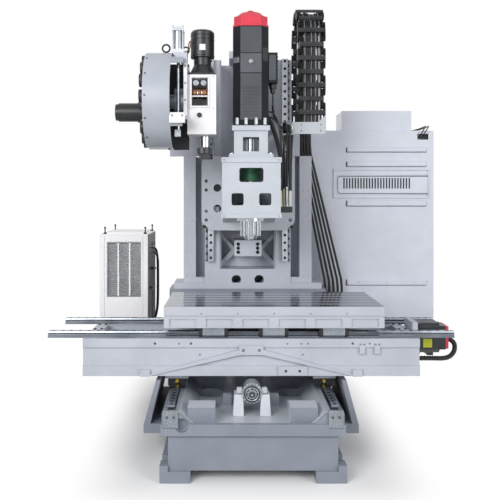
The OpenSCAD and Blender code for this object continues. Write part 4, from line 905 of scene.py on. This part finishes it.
def add_chain_cables(runs):
    """Cables side by side through the chain, each run ending exactly where the next begins."""
    spans = {"front": (-0.020, CHAIN_RISE), "loop": (CHAIN_RISE, CHAIN_LOOP_END),
             "rear": (CHAIN_LOOP_END, LINK_N * LINK_PITCH + 0.030)}
    for k, (radius, material) in enumerate(CHAIN_CABLES):
        x = CHAIN_X[0] + 0.034 + 0.014 * k
        for run, (s0, s1) in spans.items():
            stops = [s0 + (s1 - s0) * i / CABLE_STOPS for i in range(CABLE_STOPS + 1)]
            path = [chain_frame(s) @ Vector((x, 0.006 * math.cos(9 * s + k), 0)) for s in stops]
            for face in add_tube(runs[run], path, radius, 8):
                face.material_index = material


def add_wings(runs):
    """Flat wings inside every link, which lap over the next and close the sides."""
    for s in steps(0.5 * LINK_PITCH, LINK_PITCH, LINK_N):
        for x in (CHAIN_X[0] + 0.0265, CHAIN_X[1] - 0.0285):
            add_box(runs[chain_run_of(s)], (x, -0.023, -LINK_PITCH / 2), (x + 0.002, 0.023, LINK_PITCH / 2),
                    chain_frame(s))


def chain_runs():
    runs = {run: bmesh.new() for run in ("front", "loop", "rear")}
    for fill in (copy_links, add_wings, add_crossbars, add_chain_cables):
        fill(runs)
    for run, bm in runs.items():
        obj = placed(f"chain_{run}_run", mesh_of(f"chain_{run}_run", bm))
        for finish in (chain_nylon, bar_nylon, cable_rubber, grey_cable_and_highlight):
            obj.data.materials.append(finish)
        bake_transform(obj)
        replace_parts(obj, "drag_chain")


chain_runs()


# Cables and hoses that leave the object and go back into it

# The routes of twin cables: a point of the first cable, then how far the second one's point lies from it
TWINS = (
    ("motor_foot_cable", "head", 0.0096, "medium", (
        (0.104, -0.505, 2.040, 0, 0.024, -0.030), (0.134, -0.500, 2.034, 0, 0.022, -0.030),
        (0.164, -0.494, 1.990, 0.010, 0.010, -0.030), (0.182, -0.490, 1.900, 0.016, 0, -0.020),
        (0.190, -0.492, 1.800, 0.018), (0.194, -0.498, 1.680, 0.018), (0.188, -0.508, 1.560, 0.018),
        (0.183, -0.514, 1.500, 0.018), (0.183, -0.514, 1.464, 0.018))),
    ("bracket_cable", "head", 0.014, "medium", (
        (0.243, -0.234, 1.978, 0.018), (0.242, -0.262, 1.977, 0.018), (0.238, -0.320, 1.950, 0.017),
        (0.232, -0.400, 1.866, 0.015), (0.226, -0.462, 1.760, 0.014), (0.222, -0.500, 1.640, 0.016),
        (0.220, -0.514, 1.550, 0.018), (0.219, -0.516, 1.500, 0.018), (0.219, -0.516, 1.464, 0.018))),
    ("motor_loop_cable", "head", 0.0086, "medium", (
        (0.135, -0.508, 2.152, 0, 0.040, -0.066), (0.135, -0.507, 2.114, 0, 0.040, -0.050),
        (0.139, -0.496, 2.056, 0, 0.040, -0.020), (0.154, -0.456, 2.006, 0, 0.034, -0.006),
        (0.184, -0.384, 1.974, 0, 0.020), (0.218, -0.306, 1.960, 0, 0.008, -0.008),
        (0.246, -0.256, 1.958, 0.010, 0, -0.010), (0.250, -0.230, 1.960, 0.010, 0, -0.010))),
    ("cabinet_cable", "base", 0.008, "medium", (
        (1.270, 0.450, 1.964, 0.022), (1.272, 0.405, 1.966, 0.022), (1.280, 0.374, 1.984, 0.022),
        (1.294, 0.366, 2.010, 0.022), (1.312, 0.378, 2.034, 0.022), (1.324, 0.412, 2.046, 0.022),
        (1.320, 0.456, 2.044, 0.022), (1.302, 0.500, 2.036, 0.022), (1.272, 0.540, 2.029, 0.022),
        (1.238, 0.574, 2.024, 0.022), (1.206, 0.602, 2.008, 0.022))),
    ("chiller_hose", "base", 0.018, "stiff", (
        (-0.748, 0.530, 1.138, 0, 0.010, -0.040), (-0.742, 0.580, 1.139, 0, 0.014, -0.040),
        (-0.724, 0.646, 1.134, 0, 0.020, -0.040), (-0.706, 0.712, 1.112, 0, 0.026, -0.036),
        (-0.700, 0.764, 1.058, 0, 0.030, -0.030), (-0.700, 0.786, 0.980, 0, 0.032, -0.020),
        (-0.700, 0.790, 0.860, 0, 0.032), (-0.700, 0.786, 0.740, 0, 0.032), (-0.702, 0.770, 0.650, 0, 0.030),
        (-0.712, 0.730, 0.580, 0, 0.026), (-0.730, 0.672, 0.544, 0, 0.020), (-0.748, 0.620, 0.530, 0, 0.020))),
)
for k in range(2):
    for name, body, diameter, stiffness, route in TWINS:
        points = [[place + k * shift for place, shift in zip(row[:3], (*row[3:], 0, 0, 0))] for row in route]
        cable(f"{name}_{k + 1}", body, points, diameter)
cable("spindle_conduit", "head",
      [(0.098, -0.440, 2.030), (0.116, -0.441, 2.000), (0.136, -0.444, 1.955), (0.158, -0.450, 1.890),
       (0.178, -0.458, 1.810), (0.193, -0.468, 1.710), (0.202, -0.478, 1.610), (0.206, -0.485, 1.530),
       (0.207, -0.488, 1.464)], 0.026)
cable("air_hose", "base",
      [(-0.395, -0.608, 2.380), (-0.378, -0.606, 2.385), (-0.362, -0.598, 2.406), (-0.357, -0.584, 2.436),
       (-0.362, -0.559, 2.454), (-0.371, -0.530, 2.444), (-0.379, -0.508, 2.404), (-0.384, -0.498, 2.354),
       (-0.385, -0.496, 2.302)], 0.007, hose_brown)


# Corrugated conduit along the frame's own route, from the X motor back to the saddle
route = smooth_path([(1.208, -0.409, 0.640), (1.240, -0.409, 0.640), (1.266, -0.409, 0.612), (1.262, -0.405, 0.562),
                     (1.220, -0.392, 0.524), (1.120, -0.370, 0.516), (0.980, -0.370, 0.516)], 22)
ripples = [0.0128 if i % 3 == 2 else 0.0150 for i in range(len(route))]
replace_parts(solid("x_motor_conduit", "saddle", black_nylon, [(add_tube, route, ripples, 14)]), "x_motor_hose")


# Fittings on the manifold: ivory, olive, grey and metal sleeves over the hose ends, four thin ones, then three thick
SLEEVES = [(0.183 + 0.018 * k, -0.515, 0.0085) for k in range(4)]
SLEEVES += [(0.200 + 0.022 * k, -0.490, 0.0105) for k in range(3)]
SLEEVE_FINISHES = (sleeve_ivory, sleeve_olive, turned_steel, sleeve_ivory, sleeve_olive, grey_cable_and_highlight, turned_steel)
for k, ((x, y, radius), finish) in enumerate(zip(SLEEVES, SLEEVE_FINISHES)):
    pegs(f"manifold_sleeve_{k + 1}", "head", finish, [(x, y, 1.465)], UP,
         ((0, 0.017, radius + 0.002, None, 6), (0.017, 0.097 + 0.012 * (k % 3), radius, radius - 0.001)), 0.0008)


# Camera at the photograph's place, level, with the frame shifted as there

def place_camera():
    camera = placed("camera", bpy.data.cameras.new("camera"))
    camera.location = (-0.124, -4.6, 1.53)
    camera.rotation_euler = (math.pi / 2, 0, 0)
    camera.data.lens = 48.7
    camera.data.sensor_width = 36.0
    camera.data.shift_x = 0.04
    camera.data.shift_y = -0.108
    scene.camera = camera


LAMP_SIZE = 3.0
# Place, height aimed at and watts of each lamp
LAMPS = {"key": ((-2.6, -5.2, 3.0), 1.3, 196), "fill": ((3.5, -4.6, 2.4), 1.3, 105), "back": ((1.0, 5.0, 3.0), 1.2, 90)}
# Half the size of the patch of floor that keeps its shadow, and how far out it fades to white
SHADOW_PATCH, SHADOW_FADE = (0.60, 0.98, 0.0), (0.02, 0.42)
WHITE = (1, 1, 1, 1)


def seen_rays(tree):
    """1 for rays that see the backdrop directly, in a mirror or through glass."""
    path = add(tree, "ShaderNodeLightPath")
    direct = calc(tree, "MAXIMUM", path["Is Camera Ray"], path["Is Glossy Ray"])
    return calc(tree, "MAXIMUM", direct, path["Is Transmission Ray"])


def floor_material():
    """White paper: it keeps the object's shadow near the base and goes over to plain white further out."""
    mat, tree, out = new_material("white_floor")
    seen = seen_rays(tree)
    for operation, *other in (("ABSOLUTE",), ("SUBTRACT", SHADOW_PATCH), ("MAXIMUM", (0.0, 0.0, 0.0)), ("LENGTH",)):
        sockets = {"i1": value for value in other}
        step = add(tree, "ShaderNodeVectorMath", {"operation": operation}, i0=out, **sockets)
        out = step["Value" if operation == "LENGTH" else "Vector"]
    plain = calc(tree, "MULTIPLY", spread(tree, out, 0.0, 1.0, *SHADOW_FADE, "SMOOTHSTEP"), seen)
    paper = add(tree, "ShaderNodeBsdfDiffuse", Color=spread(tree, seen, 0.45, 0.95))
    glow = add(tree, "ShaderNodeEmission", Color=WHITE)
    mixed = add(tree, "ShaderNodeMixShader", Fac=plain, i1=paper["BSDF"], i2=glow["Emission"])
    add(tree, "ShaderNodeOutputMaterial", Surface=mixed["Shader"])
    return mat


def build_studio():
    """White floor and a white world: cameras and mirrors see plain white, surfaces get a softer fill."""
    bm = bmesh.new()
    bmesh.ops.create_grid(bm, x_segments=2, y_segments=2, size=30)
    floor = placed("floor", mesh_of("floor", bm))
    floor.location = (0, 0, -0.001)
    floor.data.materials.append(floor_material())
    world = bpy.data.worlds.new("studio")
    scene.world = world
    world.use_nodes = True
    tree = world.node_tree
    tree.nodes.clear()
    glow = add(tree, "ShaderNodeBackground", Color=WHITE, Strength=spread(tree, seen_rays(tree), 0.46, 1.0))
    add(tree, "ShaderNodeOutputWorld", Surface=glow["Background"])
    for name, (spot, height, power) in LAMPS.items():
        lamp = placed(name, bpy.data.lights.new(name, "AREA"))
        lamp.data.shape = "DISK"
        lamp.data.size = LAMP_SIZE
        lamp.data.energy = power
        lamp.location = spot
        lamp.rotation_euler = (Vector((0, 0, height)) - Vector(spot)).to_track_quat("-Z", "Y").to_euler()


place_camera()
build_studio()
scene.view_settings.view_transform = "Standard"
